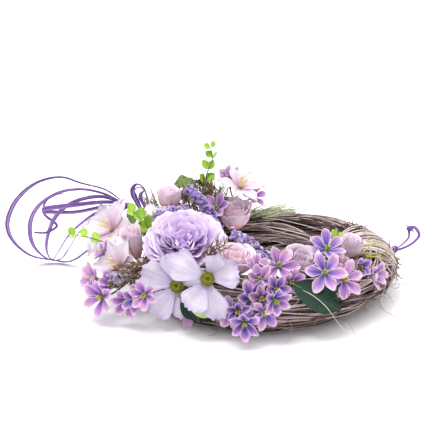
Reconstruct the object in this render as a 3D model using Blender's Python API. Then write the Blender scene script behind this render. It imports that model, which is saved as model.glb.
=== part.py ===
"""A willow wreath dressed with flowers, lying on a table: a ring of wound willow
twigs, its left half covered with blooms, leaves and dried sprays on short stems,
a raffia bow on the left and a raffia hanging loop on the right.

Sizes are in millimetres, counted from the middle of the ring at table height:
+X to the right, +Y to the back, +Z up. Meshes are made in metres.
"""

import math
import random

import bmesh
import bpy
import numpy as np
from mathutils import Vector
from mathutils.bvhtree import BVHTree

MM = 0.001

# The ring of twigs
RING_RADIUS = 112.0  # from the ring's middle to the middle of the bundle
BUNDLE_WIDTH = 28.0  # half the bundle's width, seen from above
BUNDLE_HEIGHT = 26.0  # half its height
FOOT_HEIGHT = 4.0  # the bundle is pressed flat below this
TWIG_RIDGES = 13  # twigs that show round the bundle
RIDGE_RISE = 3.0  # how far a twig stands out of the bundle
RIDGE_SINK = 3.2  # how deep the groove beside it is
TWIST_RIDGES = 4  # ridges that the winding moves by in one turn of the ring
RING_STEPS = 26  # sections round the ring, outside the binding
BINDING_FROM, BINDING_TO = -14.0, 26.0  # the bound stretch, degrees round the ring
BINDING_TURNS = 8
BINDING_RISE = 2.6
LOOSE_TWIGS = 4
LOOSE_RADIUS = 3.2
LOOSE_SIDES = 4

# The part's own frame has its origin under the middle of the wreath with its flowers
RING_CENTRE = (65.0, 16.0)

SEAT_GAP = 0.4  # between a stem's tip and the twig it is stuck on
STEM_RADIUS = 1.2
PETAL_THICK = 1.3

WILLOW = ("willow", (0.26, 0.20, 0.18), 0.85)
PURPLE = ("purple_petal", (0.42, 0.30, 0.66), 0.6)
LILAC = ("lilac_petal", (0.66, 0.53, 0.83), 0.65)
WHITE = ("white_petal", (0.86, 0.84, 0.90), 0.6)
PINK = ("pink_petal", (0.84, 0.67, 0.72), 0.6)
POLLEN = ("pollen", (0.38, 0.36, 0.07), 0.8)
STATICE = ("statice", (0.50, 0.38, 0.74), 0.8)
DRIED = ("dried_stem", (0.27, 0.21, 0.14), 0.9)
LIME = ("lime_leaf", (0.38, 0.60, 0.14), 0.5)
GREEN = ("green_leaf", (0.06, 0.22, 0.12), 0.5)
OLIVE = ("olive_leaf", (0.30, 0.37, 0.17), 0.7)
RAFFIA = ("raffia", (0.30, 0.18, 0.46), 0.6)

# How wide a petal or leaf is, as a share of its full width, from root to tip
STAR_OUTLINE = ((0, 0.18), (0.55, 1.0), (0.8, 0.9), (1, 0.5))
COSMOS_OUTLINE = ((0, 0.1), (0.33, 0.68), (0.66, 1.0), (1, 0.62))
LILY_OUTLINE = ((0, 0.2), (0.33, 0.9), (0.66, 0.85), (1, 0.12))
PEONY_OUTLINE = ((0, 0.3), (0.4, 0.85), (0.75, 1.0), (1, 0.72))
LEAF_OUTLINE = ((0, 0.1), (0.25, 0.8), (0.5, 1.0), (0.75, 0.8), (1, 0.12))
ROUND_OUTLINE = ((0, 0.08), (0.5, 1.0), (1, 0.5))


def start_empty():
    """Takes the scene's own objects away."""
    for obj in list(bpy.data.objects):
        bpy.data.objects.remove(obj, do_unlink=True)


def material(recipe):
    name, colour, roughness = recipe
    found = bpy.data.materials.get(name)
    if found:
        return found
    made = bpy.data.materials.new(name)
    made.use_nodes = True
    shader = made.node_tree.nodes["Principled BSDF"]
    shader.inputs["Base Color"].default_value = (*colour, 1)
    shader.inputs["Roughness"].default_value = roughness
    shader.inputs["Metallic"].default_value = 0
    return made


def unit(vector):
    vector = np.asarray(vector, float)
    return vector / max(np.linalg.norm(vector), 1e-9)


def outward(points, faces):
    """The faces turned so that they point out of the solid."""
    corner = points[np.array([f[:3] for f in faces])]
    volume = np.einsum("ij,ij->i", corner[:, 0], np.cross(corner[:, 1], corner[:, 2])).sum()
    return faces if volume > 0 else [f[::-1] for f in faces]


def blade(grid, thick=PETAL_THICK):
    """A closed blade over rows of points from root to tip: thick down its middle,
    sharp along its sides and tip, and cut square at its root."""
    grid = np.asarray(grid, float)
    rows, cols = grid.shape[:2]
    along, across = np.gradient(grid, axis=0), np.gradient(grid, axis=1)
    normal = np.cross(across, along)
    normal /= np.maximum(np.linalg.norm(normal, axis=2, keepdims=True), 1e-9)
    points, top, low = [], {}, {}
    for i in range(rows):
        for j in range(cols):
            inner = i < rows - 1 and 0 < j < cols - 1
            top[i, j] = low[i, j] = len(points)
            points.append(grid[i, j] + (normal[i, j] * thick / 2 if inner else 0))
            if inner:
                low[i, j] = len(points)
                points.append(grid[i, j] - normal[i, j] * thick / 2)
    faces = []
    for i in range(rows - 1):
        for j in range(cols - 1):
            for side, turn in ((top, 1), (low, -1)):
                a, b, c, d = side[i, j], side[i, j + 1], side[i + 1, j + 1], side[i + 1, j]
                faces += [(a, b, c)[::turn], (a, c, d)[::turn]]
    for j in range(cols - 1):
        ring = [top[0, j], low[0, j], low[0, j + 1], top[0, j + 1]]
        ring = [p for k, p in enumerate(ring) if p != ring[k - 1]]
        faces += [(ring[0], ring[k], ring[k + 1]) for k in range(1, len(ring) - 1)]
    points = np.array(points)
    return points, outward(points, faces)


def slim_blade(grid, thick=PETAL_THICK):
    """A lighter closed blade over rows of three points: flat above, with a keel below."""
    grid = np.asarray(grid, float)
    normal = np.cross(np.gradient(grid, axis=0), np.gradient(grid, axis=1))[:, 1]
    points = []
    for row, up in zip(grid, normal):
        points += [row[0], row[2], row[1] - unit(up) * thick]
    points.pop()
    faces = [(0, 2, 1)]
    for i in range(0, len(points) - 2, 3):
        left, right, keel = i, i + 1, i + 2
        next_left, next_right, next_keel = i + 3, i + 4, i + 5
        faces += [(left, right, next_right), (left, next_right, next_left)]
        if next_keel < len(points):
            faces += [(left, next_left, next_keel), (left, next_keel, keel),
                      (keel, next_keel, next_right), (keel, next_right, right)]
        else:
            faces += [(left, next_left, keel), (keel, next_left, next_right),
                      (keel, next_right, right)]
    points = np.array(points)
    return points, outward(points, faces)


def share(outline, s):
    """The width share of an outline at s, from 0 at the root to 1 at the tip."""
    return float(np.interp(s, [p[0] for p in outline], [p[1] for p in outline]))


def petal_grid(length, width, angle, pitch, bend, outline, start=0.0, cup=0.2, tilt=0.0,
               wave=0.0, waves=2.0, rows=4, cols=3):
    """Rows of points of a petal in its bloom's own frame: it leaves the middle at an
    angle round the bloom, rises by pitch degrees and curls by bend degrees."""
    turn = math.radians(angle)
    outwards = np.array([math.cos(turn), math.sin(turn), 0])
    sideways = np.array([-math.sin(turn), math.cos(turn), 0])
    upwards = np.array([0, 0, 1.0])
    grid, reach, rise, before = [], start, 0.0, 0.0
    for s in np.linspace(0, 1, rows):
        slope = math.radians(pitch + bend * (s + before) / 2)
        reach += (s - before) * length * math.cos(slope)
        rise += (s - before) * length * math.sin(slope)
        before = s
        lean = math.radians(pitch + bend * s)
        normal = upwards * math.cos(lean) - outwards * math.sin(lean)
        half = width / 2 * share(outline, s)
        row = []
        for u in np.linspace(-1, 1, cols):
            lift = half * (cup * u * u + tilt * u) + wave * s * math.sin(waves * math.pi * u)
            row.append(outwards * reach + upwards * rise + sideways * u * half + normal * lift)
        grid.append(row)
    return np.array(grid)


def petal(*measures, cols=3, thick=PETAL_THICK, **more):
    make = slim_blade if cols == 3 else blade
    return make(petal_grid(*measures, cols=cols, **more), thick)


def joined_bloom(grids, collar, heart, back, thick=PETAL_THICK):
    """One solid of equal petals round a pointed heart. Neighbours share their root's
    corners on a collar of the given radius; heart and back are the two points' heights."""
    count = len(grids)
    step = 2 * math.pi / count
    points = [(0, 0, heart), (0, 0, back)]
    for k in range(count):
        points.append((collar * math.cos(step * k), collar * math.sin(step * k), 0.9))
    faces = []
    for k, grid in enumerate(grids):
        left, right = 2 + k, 2 + (k + 1) % count
        middle = step * (k + 0.5)
        keel = len(points)
        points.append((0.8 * collar * math.cos(middle), 0.8 * collar * math.sin(middle), -1.2))
        faces += [(left, right, 0), (left, 1, keel), (keel, 1, right)]
        normal = np.cross(np.gradient(grid, axis=0), np.gradient(grid, axis=1))[:, 1]
        for i in range(1, len(grid)):
            tip = i == len(grid) - 1
            next_left, next_right, next_keel = range(len(points), len(points) + 3)
            points += [grid[i][0], grid[i][2]]
            faces += [(left, next_right, right), (left, next_left, next_right)]
            if tip:
                faces += [(left, keel, next_left), (keel, next_right, next_left),
                          (keel, right, next_right)]
                continue
            points.append(grid[i][1] - unit(normal[i]) * thick)
            faces += [(left, keel, next_keel), (left, next_keel, next_left),
                      (keel, right, next_right), (keel, next_right, next_keel)]
            left, right, keel = next_left, next_right, next_keel
    points = np.array(points, float)
    return points, outward(points, faces)


def wrapped_petal(radius, height, angle, half_angle, flare=0.0, spiral=2.0, droop=0.18,
                  wave=0.0, waves=2.0, rows=4, cols=4, thick=PETAL_THICK):
    """A petal that wraps round the heart of a rose. One side lies inside its
    neighbour and the other outside it."""
    grid = []
    for s in np.linspace(0, 1, rows):
        belly = radius * (0.35 + 0.65 * math.sin(min(1.15 * s, 1) * math.pi / 2))
        row = []
        for u in np.linspace(-1, 1, cols):
            spread = half_angle * (0.6 + 0.4 * math.sin(math.pi * min(s + 0.25, 0.75)))
            turn = math.radians(angle + spread * u)
            away = belly + flare * s ** 3 + spiral * u + wave * s * math.sin(waves * math.pi * u)
            up = height * s * (1 - droop * u * u)
            row.append((away * math.cos(turn), away * math.sin(turn), up))
        grid.append(row)
    return blade(grid, thick)


def tube(path, radius, sides=5):
    """A round stem through the points of a path; radius may be a list, one for each."""
    path = np.asarray(path, float)
    radii = np.broadcast_to(radius, len(path))
    along = np.gradient(path, axis=0)
    side = unit(np.cross(along[0], (0.3, 0.9, 0.31)))
    points = []
    for centre, heading, r in zip(path, along, radii):
        heading = unit(heading)
        side = unit(side - heading * (side @ heading))
        other = np.cross(heading, side)
        for k in range(sides):
            turn = 2 * math.pi * k / sides
            points.append(centre + r * (side * math.cos(turn) + other * math.sin(turn)))
    faces = [tuple(range(sides))]
    for i in range(len(path) - 1):
        for k in range(sides):
            a, b = i * sides + k, i * sides + (k + 1) % sides
            faces.append((a, a + sides, b + sides, b))
    faces.append(tuple(range(len(points) - 1, len(points) - 1 - sides, -1)))
    points = np.array(points)
    return points, outward(points, faces)


def turned(profile, sides):
    """A solid turned about its own Z from (radius, height) pairs, from low to high. A
    radius of 0 makes a point."""
    points, rings = [], []
    for r, z in profile:
        count = sides if r else 1
        rings.append(range(len(points), len(points) + count))
        for k in range(count):
            turn = 2 * math.pi * k / sides
            points.append((r * math.cos(turn), r * math.sin(turn), z))
    faces = []
    for low, high in zip(rings, rings[1:]):
        for k in range(sides):
            corners = [ring[(k + step) % len(ring)]
                       for ring, step in ((low, 0), (low, 1), (high, 1), (high, 0))]
            faces.append(tuple(dict.fromkeys(corners)))
    faces += [tuple(ring)[::turn] for ring, turn in ((rings[0], -1), (rings[-1], 1))
              if len(ring) > 1]
    points = np.array(points, float)
    return points, outward(points, faces)


def ribbon(path, width, thick, twist_from=0.0, twist_to=0.0, flat_to=(0, 1, 0)):
    """A flat strip of raffia along a path. Its width lies along flat_to at first and is
    carried along, turned by a twist that changes evenly from one end to the other."""
    path = np.asarray(path, float)
    along = np.gradient(path, axis=0)
    across = np.asarray(flat_to, float)
    points = []
    for i, (centre, heading) in enumerate(zip(path, along)):
        heading = unit(heading)
        across = unit(across - heading * (across @ heading))
        up = np.cross(heading, across)
        turn = math.radians(twist_from + (twist_to - twist_from) * i / (len(path) - 1))
        wide = across * math.cos(turn) + up * math.sin(turn)
        deep = np.cross(heading, wide)
        for a, b in ((1, 1), (1, -1), (-1, -1), (-1, 1)):
            points.append(centre + wide * a * width / 2 + deep * b * thick / 2)
    faces = [(0, 1, 2, 3)]
    for i in range(len(path) - 1):
        for k in range(4):
            a, b = 4 * i + k, 4 * i + (k + 1) % 4
            faces.append((a, a + 4, b + 4, b))
    last = len(points) - 4
    faces.append((last + 3, last + 2, last + 1, last))
    points = np.array(points)
    return points, outward(points, faces)


def smooth(points, steps):
    """Points along a smooth curve through the given ones."""
    points = np.asarray(points, float)
    padded = np.vstack([2 * points[0] - points[1], points, 2 * points[-1] - points[-2]])
    out = []
    for t in np.linspace(0, len(points) - 1, steps):
        i = min(int(t), len(points) - 2)
        f = t - i
        a, b, c, d = padded[i:i + 4]
        out.append(0.5 * (2 * b + (c - a) * f + (2 * a - 5 * b + 4 * c - d) * f ** 2
                          + (3 * b - a - 3 * c + d) * f ** 3))
    return np.array(out)


def facing(azimuth, elevation):
    """A direction: azimuth 0 is to the front, 90 to the right; elevation is above level."""
    a, e = math.radians(azimuth), math.radians(elevation)
    return np.array([math.sin(a) * math.cos(e), -math.cos(a) * math.cos(e), math.sin(e)])


def placed(parts, place, look, roll=0.0):
    """A bloom's parts, turned to look along a direction and moved to their place.
    The bloom's own +Y points as near up as it can."""
    z = unit(look)
    hint = (0, 0, 1) if abs(z[2]) < 0.97 else (0, 1, 0)
    x = unit(np.cross(hint, z))
    y = np.cross(z, x)
    turn = math.radians(roll)
    axes = np.array([x * math.cos(turn) + y * math.sin(turn),
                     y * math.cos(turn) - x * math.sin(turn), z])
    return [(points @ axes + np.asarray(place, float), faces) for points, faces in parts]


def mesh_object(name, part, collection=None):
    points, faces = part
    centre = np.array([*RING_CENTRE, 0.0])
    mesh = bpy.data.meshes.new(name)
    mesh.from_pydata(((points + centre) * MM).tolist(), [], [tuple(map(int, f)) for f in faces])
    mesh.update()
    obj = bpy.data.objects.new(name, mesh)
    (collection or bpy.context.scene.collection).objects.link(obj)
    return obj


def keep_body(mesh):
    """Keeps the body itself: loose scraps go, and a hollow that fusing sealed is filled."""
    work = bmesh.new()
    work.from_mesh(mesh)
    left, islands = set(work.verts), []
    while left:
        island, edge = set(), [left.pop()]
        while edge:
            vert = edge.pop()
            island.add(vert)
            near = {e.other_vert(vert) for e in vert.link_edges} & left
            left -= near
            edge += near
        islands.append(island)
    islands.sort(key=len)
    bmesh.ops.delete(work, geom=[v for island in islands[:-1] for v in island], context="VERTS")
    work.to_mesh(mesh)
    work.free()


def fuse(name, parts, recipe):
    """One solid from the parts: the first is the body and the rest are joined to it."""
    body = mesh_object(name, parts[0])
    if len(parts) > 1:
        group = bpy.data.collections.new(name + "_repeats")
        bpy.context.scene.collection.children.link(group)
        for k, part in enumerate(parts[1:]):
            mesh_object(f"{name}_repeat_{k}", part, group)
        union = body.modifiers.new("join", "BOOLEAN")
        union.operation = "UNION"
        union.operand_type = "COLLECTION"
        union.collection = group
        bpy.context.view_layer.update()
        joined = bpy.data.meshes.new_from_object(
            body.evaluated_get(bpy.context.evaluated_depsgraph_get()))
        body.modifiers.clear()
        body.data = joined
        for obj in list(group.objects):
            bpy.data.objects.remove(obj, do_unlink=True)
        bpy.data.collections.remove(group)
        keep_body(body.data)
    body.data.materials.clear()
    body.data.materials.append(material(recipe))
    return body


# The ring


def bundle_point(round_ring, round_bundle, out=0.0):
    """A point on the bundle: one angle round the ring and one round its section,
    0 outwards and 90 up, in degrees, and a distance out of the surface."""
    a, b = math.radians(round_ring), math.radians(round_bundle)
    away = RING_RADIUS + (BUNDLE_WIDTH + out) * math.cos(b)
    return np.array([away * math.cos(a), away * math.sin(a),
                     BUNDLE_HEIGHT + (BUNDLE_HEIGHT + out) * math.sin(b)])


def ring_angles():
    """Angles of the ring's sections: close together where the binding's turns lie."""
    bound = np.linspace(BINDING_FROM, BINDING_TO, 2 * BINDING_TURNS + 1)
    free = np.linspace(BINDING_TO, BINDING_FROM + 360, RING_STEPS)[1:-1]
    return list(bound), list(free)


def ring_bundle():
    """The wound bundle: ridges that run along it with a slow twist, crossed at the
    right by the turns of a thin binding."""
    draw = random.Random(4)
    columns = 2 * TWIG_RIDGES
    rises = [(draw.uniform(0.55, 1.0), draw.randint(2, 5), draw.uniform(0, 2 * math.pi))
             for _ in range(TWIG_RIDGES)]
    bound, free = ring_angles()
    angles = bound + free
    points = []
    for i, angle in enumerate(angles):
        turn = (angle - BINDING_FROM) / 360
        for j in range(columns):
            around = 360 * (j / columns + turn * TWIST_RIDGES / TWIG_RIDGES)
            size, beats, phase = rises[j // 2]
            crest = RIDGE_RISE * size * (0.65 + 0.35 * math.sin(beats * 2 * math.pi * turn + phase))
            out = crest if j % 2 == 0 else -RIDGE_SINK
            if i < len(bound):
                out = BINDING_RISE if i % 2 else 0.0
            point = bundle_point(angle, around, out)
            if point[2] < FOOT_HEIGHT:
                point[2] = 0.0
            points.append(point)
    faces = []
    rows = len(angles)
    for i in range(rows):
        shift = 2 * TWIST_RIDGES if i == rows - 1 else 0
        for j in range(columns):
            a, b = i * columns + j, i * columns + (j + 1) % columns
            n = (i + 1) % rows
            c = n * columns + (j + 1 + shift) % columns
            d = n * columns + (j + shift) % columns
            faces += [(a, b, c), (a, c, d)]
    points = np.array(points)
    return points, outward(points, faces)


def loose_twigs():
    """Thicker twigs that cross the bundle at a slant and dive back into it."""
    draw = random.Random(11)
    twigs = []
    for k in range(LOOSE_TWIGS):
        start = 32 + 320 * k / LOOSE_TWIGS
        span = draw.uniform(60, 95)
        around, slant = draw.uniform(15, 150), draw.choice((-1, 1)) * draw.uniform(40, 75)
        path = []
        for t in np.linspace(0, 1, 9):
            out = 1.8 - 8 * (2 * t - 1) ** 6
            path.append(bundle_point(start + span * t, around + slant * (t - 0.5), out))
        twigs.append(tube(path, LOOSE_RADIUS, LOOSE_SIDES))
    return twigs


def make_ring():
    return fuse("willow_ring", [ring_bundle(), *loose_twigs()], WILLOW)


class Ground:
    """The finished ring, for finding where a stem meets it."""

    def __init__(self, ring):
        mesh = ring.data
        centre = np.array([*RING_CENTRE, 0.0])
        points = [Vector(np.array(v.co) / MM - centre) for v in mesh.vertices]
        self.tree = BVHTree.FromPolygons(points, [tuple(p.vertices) for p in mesh.polygons])

    def seat(self, point):
        """The place just off the ring's surface that is nearest to the point."""
        found = np.array(self.tree.find_nearest(Vector(point))[0])
        return found + unit(np.asarray(point, float) - found) * SEAT_GAP


def stem_to_ring(ground, top, heading, radius=STEM_RADIUS, sides=4):
    """A stem from a bloom's back, along its heading at first, to its seat on the ring."""
    seat = ground.seat(top)
    top = np.asarray(top, float)
    reach = np.linalg.norm(top - seat)
    bend = top + unit(heading) * reach * 0.4
    path = [top, (top + bend * 2 + seat) / 4, seat]
    return tube(path, [radius, radius, 0.3], sides)


def branch(start, end, heading, radius=STEM_RADIUS, sides=3):
    """A side stem from a bloom's back to a point on its spray's main stem."""
    start, end = np.asarray(start, float), np.asarray(end, float)
    bend = start + unit(heading) * np.linalg.norm(end - start) * 0.35
    return tube([start, (start + 2 * bend + end) / 4, end], radius, sides)


# Blooms, each in its own frame, looking along +Z with its root at the origin


def star_bloom(size, openness=20.0, petals=6):
    """A small six-petalled bloom: spoon-shaped petals round a pointed heart."""
    grids = [petal_grid(size / 2 - 2.2, size * 0.28, 360 / petals * (k + 0.5), openness,
                        16 - 10 * (k % 2), STAR_OUTLINE, start=2.2, cup=0.08, rows=3)
             for k in range(petals)]
    return [joined_bloom(grids, collar=2.9, heart=6.5, back=-7.0)]


def cosmos_bloom(width, petals):
    """A broad white bloom: wide petals, waved and blunt at the tip. Each petal has the
    angle at which it stands, its length and how far it curls up."""
    core = turned([(0, -6), (4.6, -2), (6.0, 1.0), (6.0, 2.4)], 8)
    return [core] + [
        petal(length, width, angle, 4, curl, COSMOS_OUTLINE, start=2, cup=0.12,
              tilt=0.14, wave=1.2, waves=1.5, rows=4, cols=4, thick=1.4)
        for angle, length, curl in petals
    ]


def cosmos_heart():
    """The domed heart of stamens with a pit in its middle."""
    return turned([(5.4, 2.8), (7.3, 4.2), (5.2, 6.8), (0, 5.0)], 10)


def rose_bloom(size, height, layers, open_out=2.0):
    """A half-open rose: layers of petals wrapped round each other."""
    core = turned([(0, -5), (size * 0.22, -1), (size * 0.24, 3), (0, 5)], 6)
    parts = [core]
    for n, (count, far) in enumerate(layers):
        for k in range(count):
            parts.append(wrapped_petal(
                size / 2 * far, height * (1 - 0.1 * n), 360 * (k + 0.37 * n) / count,
                360 / count * 0.6, flare=open_out * (n + 0.5), spiral=1.1 + 0.5 * n, rows=3))
    return parts


def peony_bloom(size):
    """The big ruffled bloom: rings of broad petals that close up towards the heart."""
    core = turned([(0, -7), (9, -1), (11, 4), (6, 11), (0, 15)], 7)
    parts = [core]
    for n, (count, reach, broad, pitch, bend, rows) in enumerate(PEONY_RINGS):
        for k in range(count):
            parts.append(petal(
                size / 2 * reach, size / 2 * broad, 360 * (k + 0.5 * n) / count, pitch, bend,
                PEONY_OUTLINE, start=4, cup=0.26, tilt=0.28, wave=1.6, waves=2.0,
                rows=rows, cols=5, thick=1.2))
    return parts


def lily_bloom(size, pitch=34.0, bend=-22.0, petals=6, stamens=3):
    """An open lily: pointed petals that curl back, and long stamens."""
    grids = [petal_grid(size * 0.56, size * 0.25, 360 / petals * (k + 0.5), pitch - 8 * (k % 2),
                        bend, LILY_OUTLINE, start=2, cup=0.1, rows=4)
             for k in range(petals)]
    parts = [joined_bloom(grids, collar=3.0, heart=6.0, back=-9.0)]
    for k in range(stamens):
        turn = math.radians(360 / stamens * k)
        out = np.array([math.cos(turn), math.sin(turn), 0])
        path = [out * 0.6 + (0, 0, 1), out * 5 + (0, 0, size * 0.34)]
        parts.append(tube(path, [0.7, 1.1], 3))
    return parts


def round_leaves(path, pairs, size_from, size_to, radius=0.9, pitch=35.0):
    """A eucalyptus tip: a bent stem with round leaves in crossed pairs."""
    path = smooth(path, pairs + 2)
    parts = [tube(path, np.linspace(radius, 0.6, len(path)), 4)]
    for k in range(pairs):
        heading = unit(path[k + 2] - path[k + 1]) if k < pairs - 1 else unit(path[-1] - path[-2])
        size = size_from + (size_to - size_from) * k / max(pairs - 1, 1)
        for side in (0, 180):
            leaf = petal(size, size * 0.92, side * 0.96 + 90 * k + 20, pitch, 10, ROUND_OUTLINE,
                         start=0.2, cup=0.06, rows=3, thick=1.1)
            parts += placed([leaf], path[k + 1], heading)
    return parts


def leaf_blade(length, width, bend=-20.0, cup=0.1):
    """A single leaf on its own short stalk, lying along +X of its own frame."""
    stalk = tube([(-7, 0.1, -0.3), (length * 0.15, 0.2, -0.4)], [0.9, 0.6], 4)
    return [stalk, petal(length, width, 0, 4, bend, LEAF_OUTLINE, start=-2, cup=cup,
                         rows=5, thick=1.2)]


def floret_spray(path, florets, size, seed, spread=4.5, up=(0, 0, 1), stem=1.5):
    """A statice spray: a bent stem with a crowded row of small trumpets on top."""
    draw = random.Random(seed)
    path = smooth(path, 6)
    parts = [tube(path, stem, 4)]
    line = smooth(path, florets)
    up = unit(up)
    for k, here in enumerate(line):
        heading = unit(line[min(k + 1, florets - 1)] - line[max(k - 1, 0)])
        side = unit(np.cross(heading, up))
        lean = unit(up + side * (0.75 if k % 2 else -0.75) * draw.uniform(0.5, 1.1)
                    + heading * draw.uniform(-0.2, 0.5))
        tall = spread * draw.uniform(0.85, 1.25)
        trumpet = turned([(0, -tall - 1.2), (size / 2, 0.8), (0, -0.6)], 4)
        parts += placed([trumpet], here + lean * tall, lean, draw.uniform(0, 70))
    return parts


def twig_spray(path, twigs, reach, seed, radius=0.8, stem=1.2):
    """A dried spray: a thin stem that forks again and again into fine bent twigs."""
    draw = random.Random(seed)
    path = smooth(path, 5)
    parts = [tube(path, np.linspace(stem, 0.8, len(path)), 4)]
    line = smooth(path, twigs + 2)[1:-1]
    heading = unit(path[-1] - path[0])
    side = unit(np.cross(heading, (0.2, 0.3, 1)))
    for k, here in enumerate(line):
        swing = 2.4 * k + draw.uniform(-0.4, 0.4)
        out = side * math.cos(swing) + np.cross(heading, side) * math.sin(swing)
        length = reach * draw.uniform(0.7, 1.15)
        elbow = here + (out + 0.5 * heading) * length * 0.5
        tip = elbow + (out * 0.35 + heading) * length * 0.45
        parts.append(tube([here, elbow, tip], radius, 3))
    return parts


# The flowers on the ring: where each stands, what it looks at and how big it is

PEONY = {"place": (-93.0, -38.0, 61.0), "look": (-8, 62), "size": 90.0}
# Each ring of its petals: how many, length and width as a share of half the bloom,
# rise and curl in degrees, and rows of points along a petal
PEONY_RINGS = ((6, 0.94, 0.86, 14, 24, 4), (5, 0.82, 0.78, 28, 30, 3), (4, 0.66, 0.62, 46, 30, 3),
               (3, 0.54, 0.50, 66, 18, 3))

# Each petal of a cosmos: its angle, length and curl
COSMOS = {
    "cosmos_right": {"place": (-68.0, -138.0, 64.0), "look": (8, 26), "width": 30.0,
                     "petals": ((152, 41, 4), (78, 30, 34), (8, 33, 8), (-62, 42, -6), (-128, 37, 4))},
    "cosmos_left": {"place": (-98.0, -112.0, 47.5), "look": (-14, 16), "width": 30.0,
                    "petals": ((166, 40, 2), (100, 34, 0), (28, 30, -4), (-70, 34, -4), (-127, 38, 0))},
}

# Layers of a rose from the inside out: how many petals, and how far out, as a share
FULL_ROSE, ROSEBUD = ((3, 0.5), (4, 0.95)), ((3, 0.5), (3, 0.95))
ROSES = {
    "rose_front": {"place": (-42.0, -86.0, 56.0), "look": (30, 60), "size": 36.0,
                   "height": 24.0, "layers": FULL_ROSE},
    "rose_mid": {"place": (28.0, -78.0, 55.0), "look": (20, 62), "size": 36.0,
                 "height": 26.0, "layers": FULL_ROSE},
    "rose_white": {"place": (87.5, -48.0, 58.5), "look": (60, 70), "size": 28.0,
                   "height": 22.0, "layers": ROSEBUD},
    "rose_back_right": {"place": (-37.0, 84.0, 54.0), "look": (20, 40), "size": 38.0,
                        "height": 30.0, "layers": FULL_ROSE},
    "rose_back_left": {"place": (-112.0, 60.0, 76.0), "look": (-10, 72), "size": 28.0,
                       "height": 25.0, "layers": ROSEBUD},
    "rose_left": {"place": (-146.0, -22.0, 46.0), "look": (-35, 68), "size": 21.0,
                  "height": 36.0, "layers": ROSEBUD},
}

# Each star: place, what it looks at, roll, size and how far its petals are open
STAR_SPRAYS = {
    "stars_right": {
        "root": (64.0, -92.0, 60.0),
        "stars": [((60.5, -73, 71.5), (10, 62), 55, 46, 24), ((51, -116, 63), (-8, 30), 30, 48, 18),
                  ((79, -113, 52.5), (22, 28), 35, 46, 22), ((93, -91, 59.5), (58, 40), 0, 36, 45),
                  ((109, -93, 52.5), (60, 10), 25, 36, 40)],
    },
    "stars_middle": {
        "root": (-2.0, -102.0, 59.0),
        "stars": [((5, -104, 65), (12, 42), 12, 46, 22), ((1, -140, 54.5), (6, 14), 30, 38, 40),
                  ((-2, -156, 50), (24, 0), 0, 38, 40), ((-25, -114, 69), (-16, 62), 45, 38, 32)],
    },
    "stars_front": {
        "root": (-34.0, -136.0, 46.0),
        "stars": [((-25, -142, 44), (22, 18), 20, 46, 30), ((-42.5, -141, 30), (-8, 10), 23, 38, 10),
                  ((-31, -159, 27), (0, -6), 60, 42, 34)],
    },
    "stars_left": {
        "root": (-150.0, -66.0, 36.0),
        "stars": [((-186, -74, 40), (-62, 18), 15, 44, 26), ((-176, -100, 30), (-38, 8), 0, 46, 30),
                  ((-150, -108, 30), (-16, 6), 24, 40, 34), ((-131, -122, 41), (-14, 14), 18, 38, 34)],
    },
    "stars_back": {
        "root": (-34.0, 108.0, 63.0),
        "stars": [((-42, 110, 86), (-4, 70), 6, 46, 34), ((-16, 114, 72), (36, 40), 20, 38, 34)],
    },
    "stars_back_left": {
        "root": (-62.0, 82.0, 60.0),
        "stars": [((-58, 65, 72.5), (-10, 44), 39, 42, 30)],
    },
    "stars_far_left": {
        "root": (-158.0, -34.0, 46.0),
        "stars": [((-178, -38, 56), (-76, 34), 12, 34, 38)],
    },
}

LILIES = {
    "lily_top": {"place": (-31.0, 87.4, 92.0), "look": (32, 40), "roll": 68, "size": 56.0},
    "lily_white": {"place": (-174.0, 13.0, 64.5), "look": (-46, 40), "roll": 50, "size": 70.0},
    "lily_left": {"place": (-160.0, -55.0, 48.0), "look": (-44, 26), "roll": 45, "size": 58.0},
    "lily_back": {"place": (-130.5, 28.0, 68.0), "look": (0, 66), "roll": 12, "size": 48.0},
}

EUCALYPTUS = {
    "eucalyptus_top": {"path": [(-62, 96, 58), (-70, 94, 84.5), (-70, 94, 104.5), (-63, 95, 122.5),
                                (-65, 96, 141)],
                       "pairs": 5, "sizes": (13, 7)},
    "eucalyptus_middle": {"path": [(-127, -5.5, 52.5), (-130, -8, 67), (-138, -8, 81), (-149, -9, 92)],
                          "pairs": 4, "sizes": (18, 11)},
    "eucalyptus_left": {"path": [(-152, 0.5, 44), (-178, -4, 55), (-198, -8, 63), (-213, -12, 67)],
                        "pairs": 4, "sizes": (11, 10)},
    "eucalyptus_right": {"path": [(75, -56, 54), (68, -44, 66), (70, -40, 76)],
                         "pairs": 3, "sizes": (11, 8)},
}

# Each leaf: where its stalk ends, which way the blade runs, which way its face looks
LEAVES = {
    "leaf_front_right": {"place": (20.5, -131.0, 58.5), "along": (48, -18, -19),
                         "face": (0.1, -0.8, 0.6), "size": (58.0, 40.0), "colour": GREEN},
    "leaf_back_olive": {"place": (-92.0, 92.0, 78.0), "along": (-6, 2, 22),
                        "face": (0.1, -0.95, 0.3), "size": (30.0, 26.0), "colour": OLIVE},
    "leaf_back_dark": {"place": (-66.0, 101.0, 90.0), "along": (-18, -2, 7),
                       "face": (0.3, -0.8, 0.5), "size": (22.0, 10.0), "colour": GREEN},
    "leaf_left_olive": {"place": (-152.0, 24.0, 66.5), "along": (-3, 2, 22),
                        "face": (-0.2, -0.95, 0.2), "size": (25.0, 12.0), "colour": OLIVE},
    "leaf_under_left": {"place": (-88.0, -128.0, 36.0), "along": (-6, -4, -22),
                        "face": (0, -0.9, 0.4), "size": (26.0, 16.0), "colour": GREEN},
    "leaf_under_right": {"place": (-72.0, -129.0, 35.0), "along": (14, -4, -18),
                         "face": (0, -0.9, 0.4), "size": (28.0, 16.0), "colour": GREEN},
}

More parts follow.
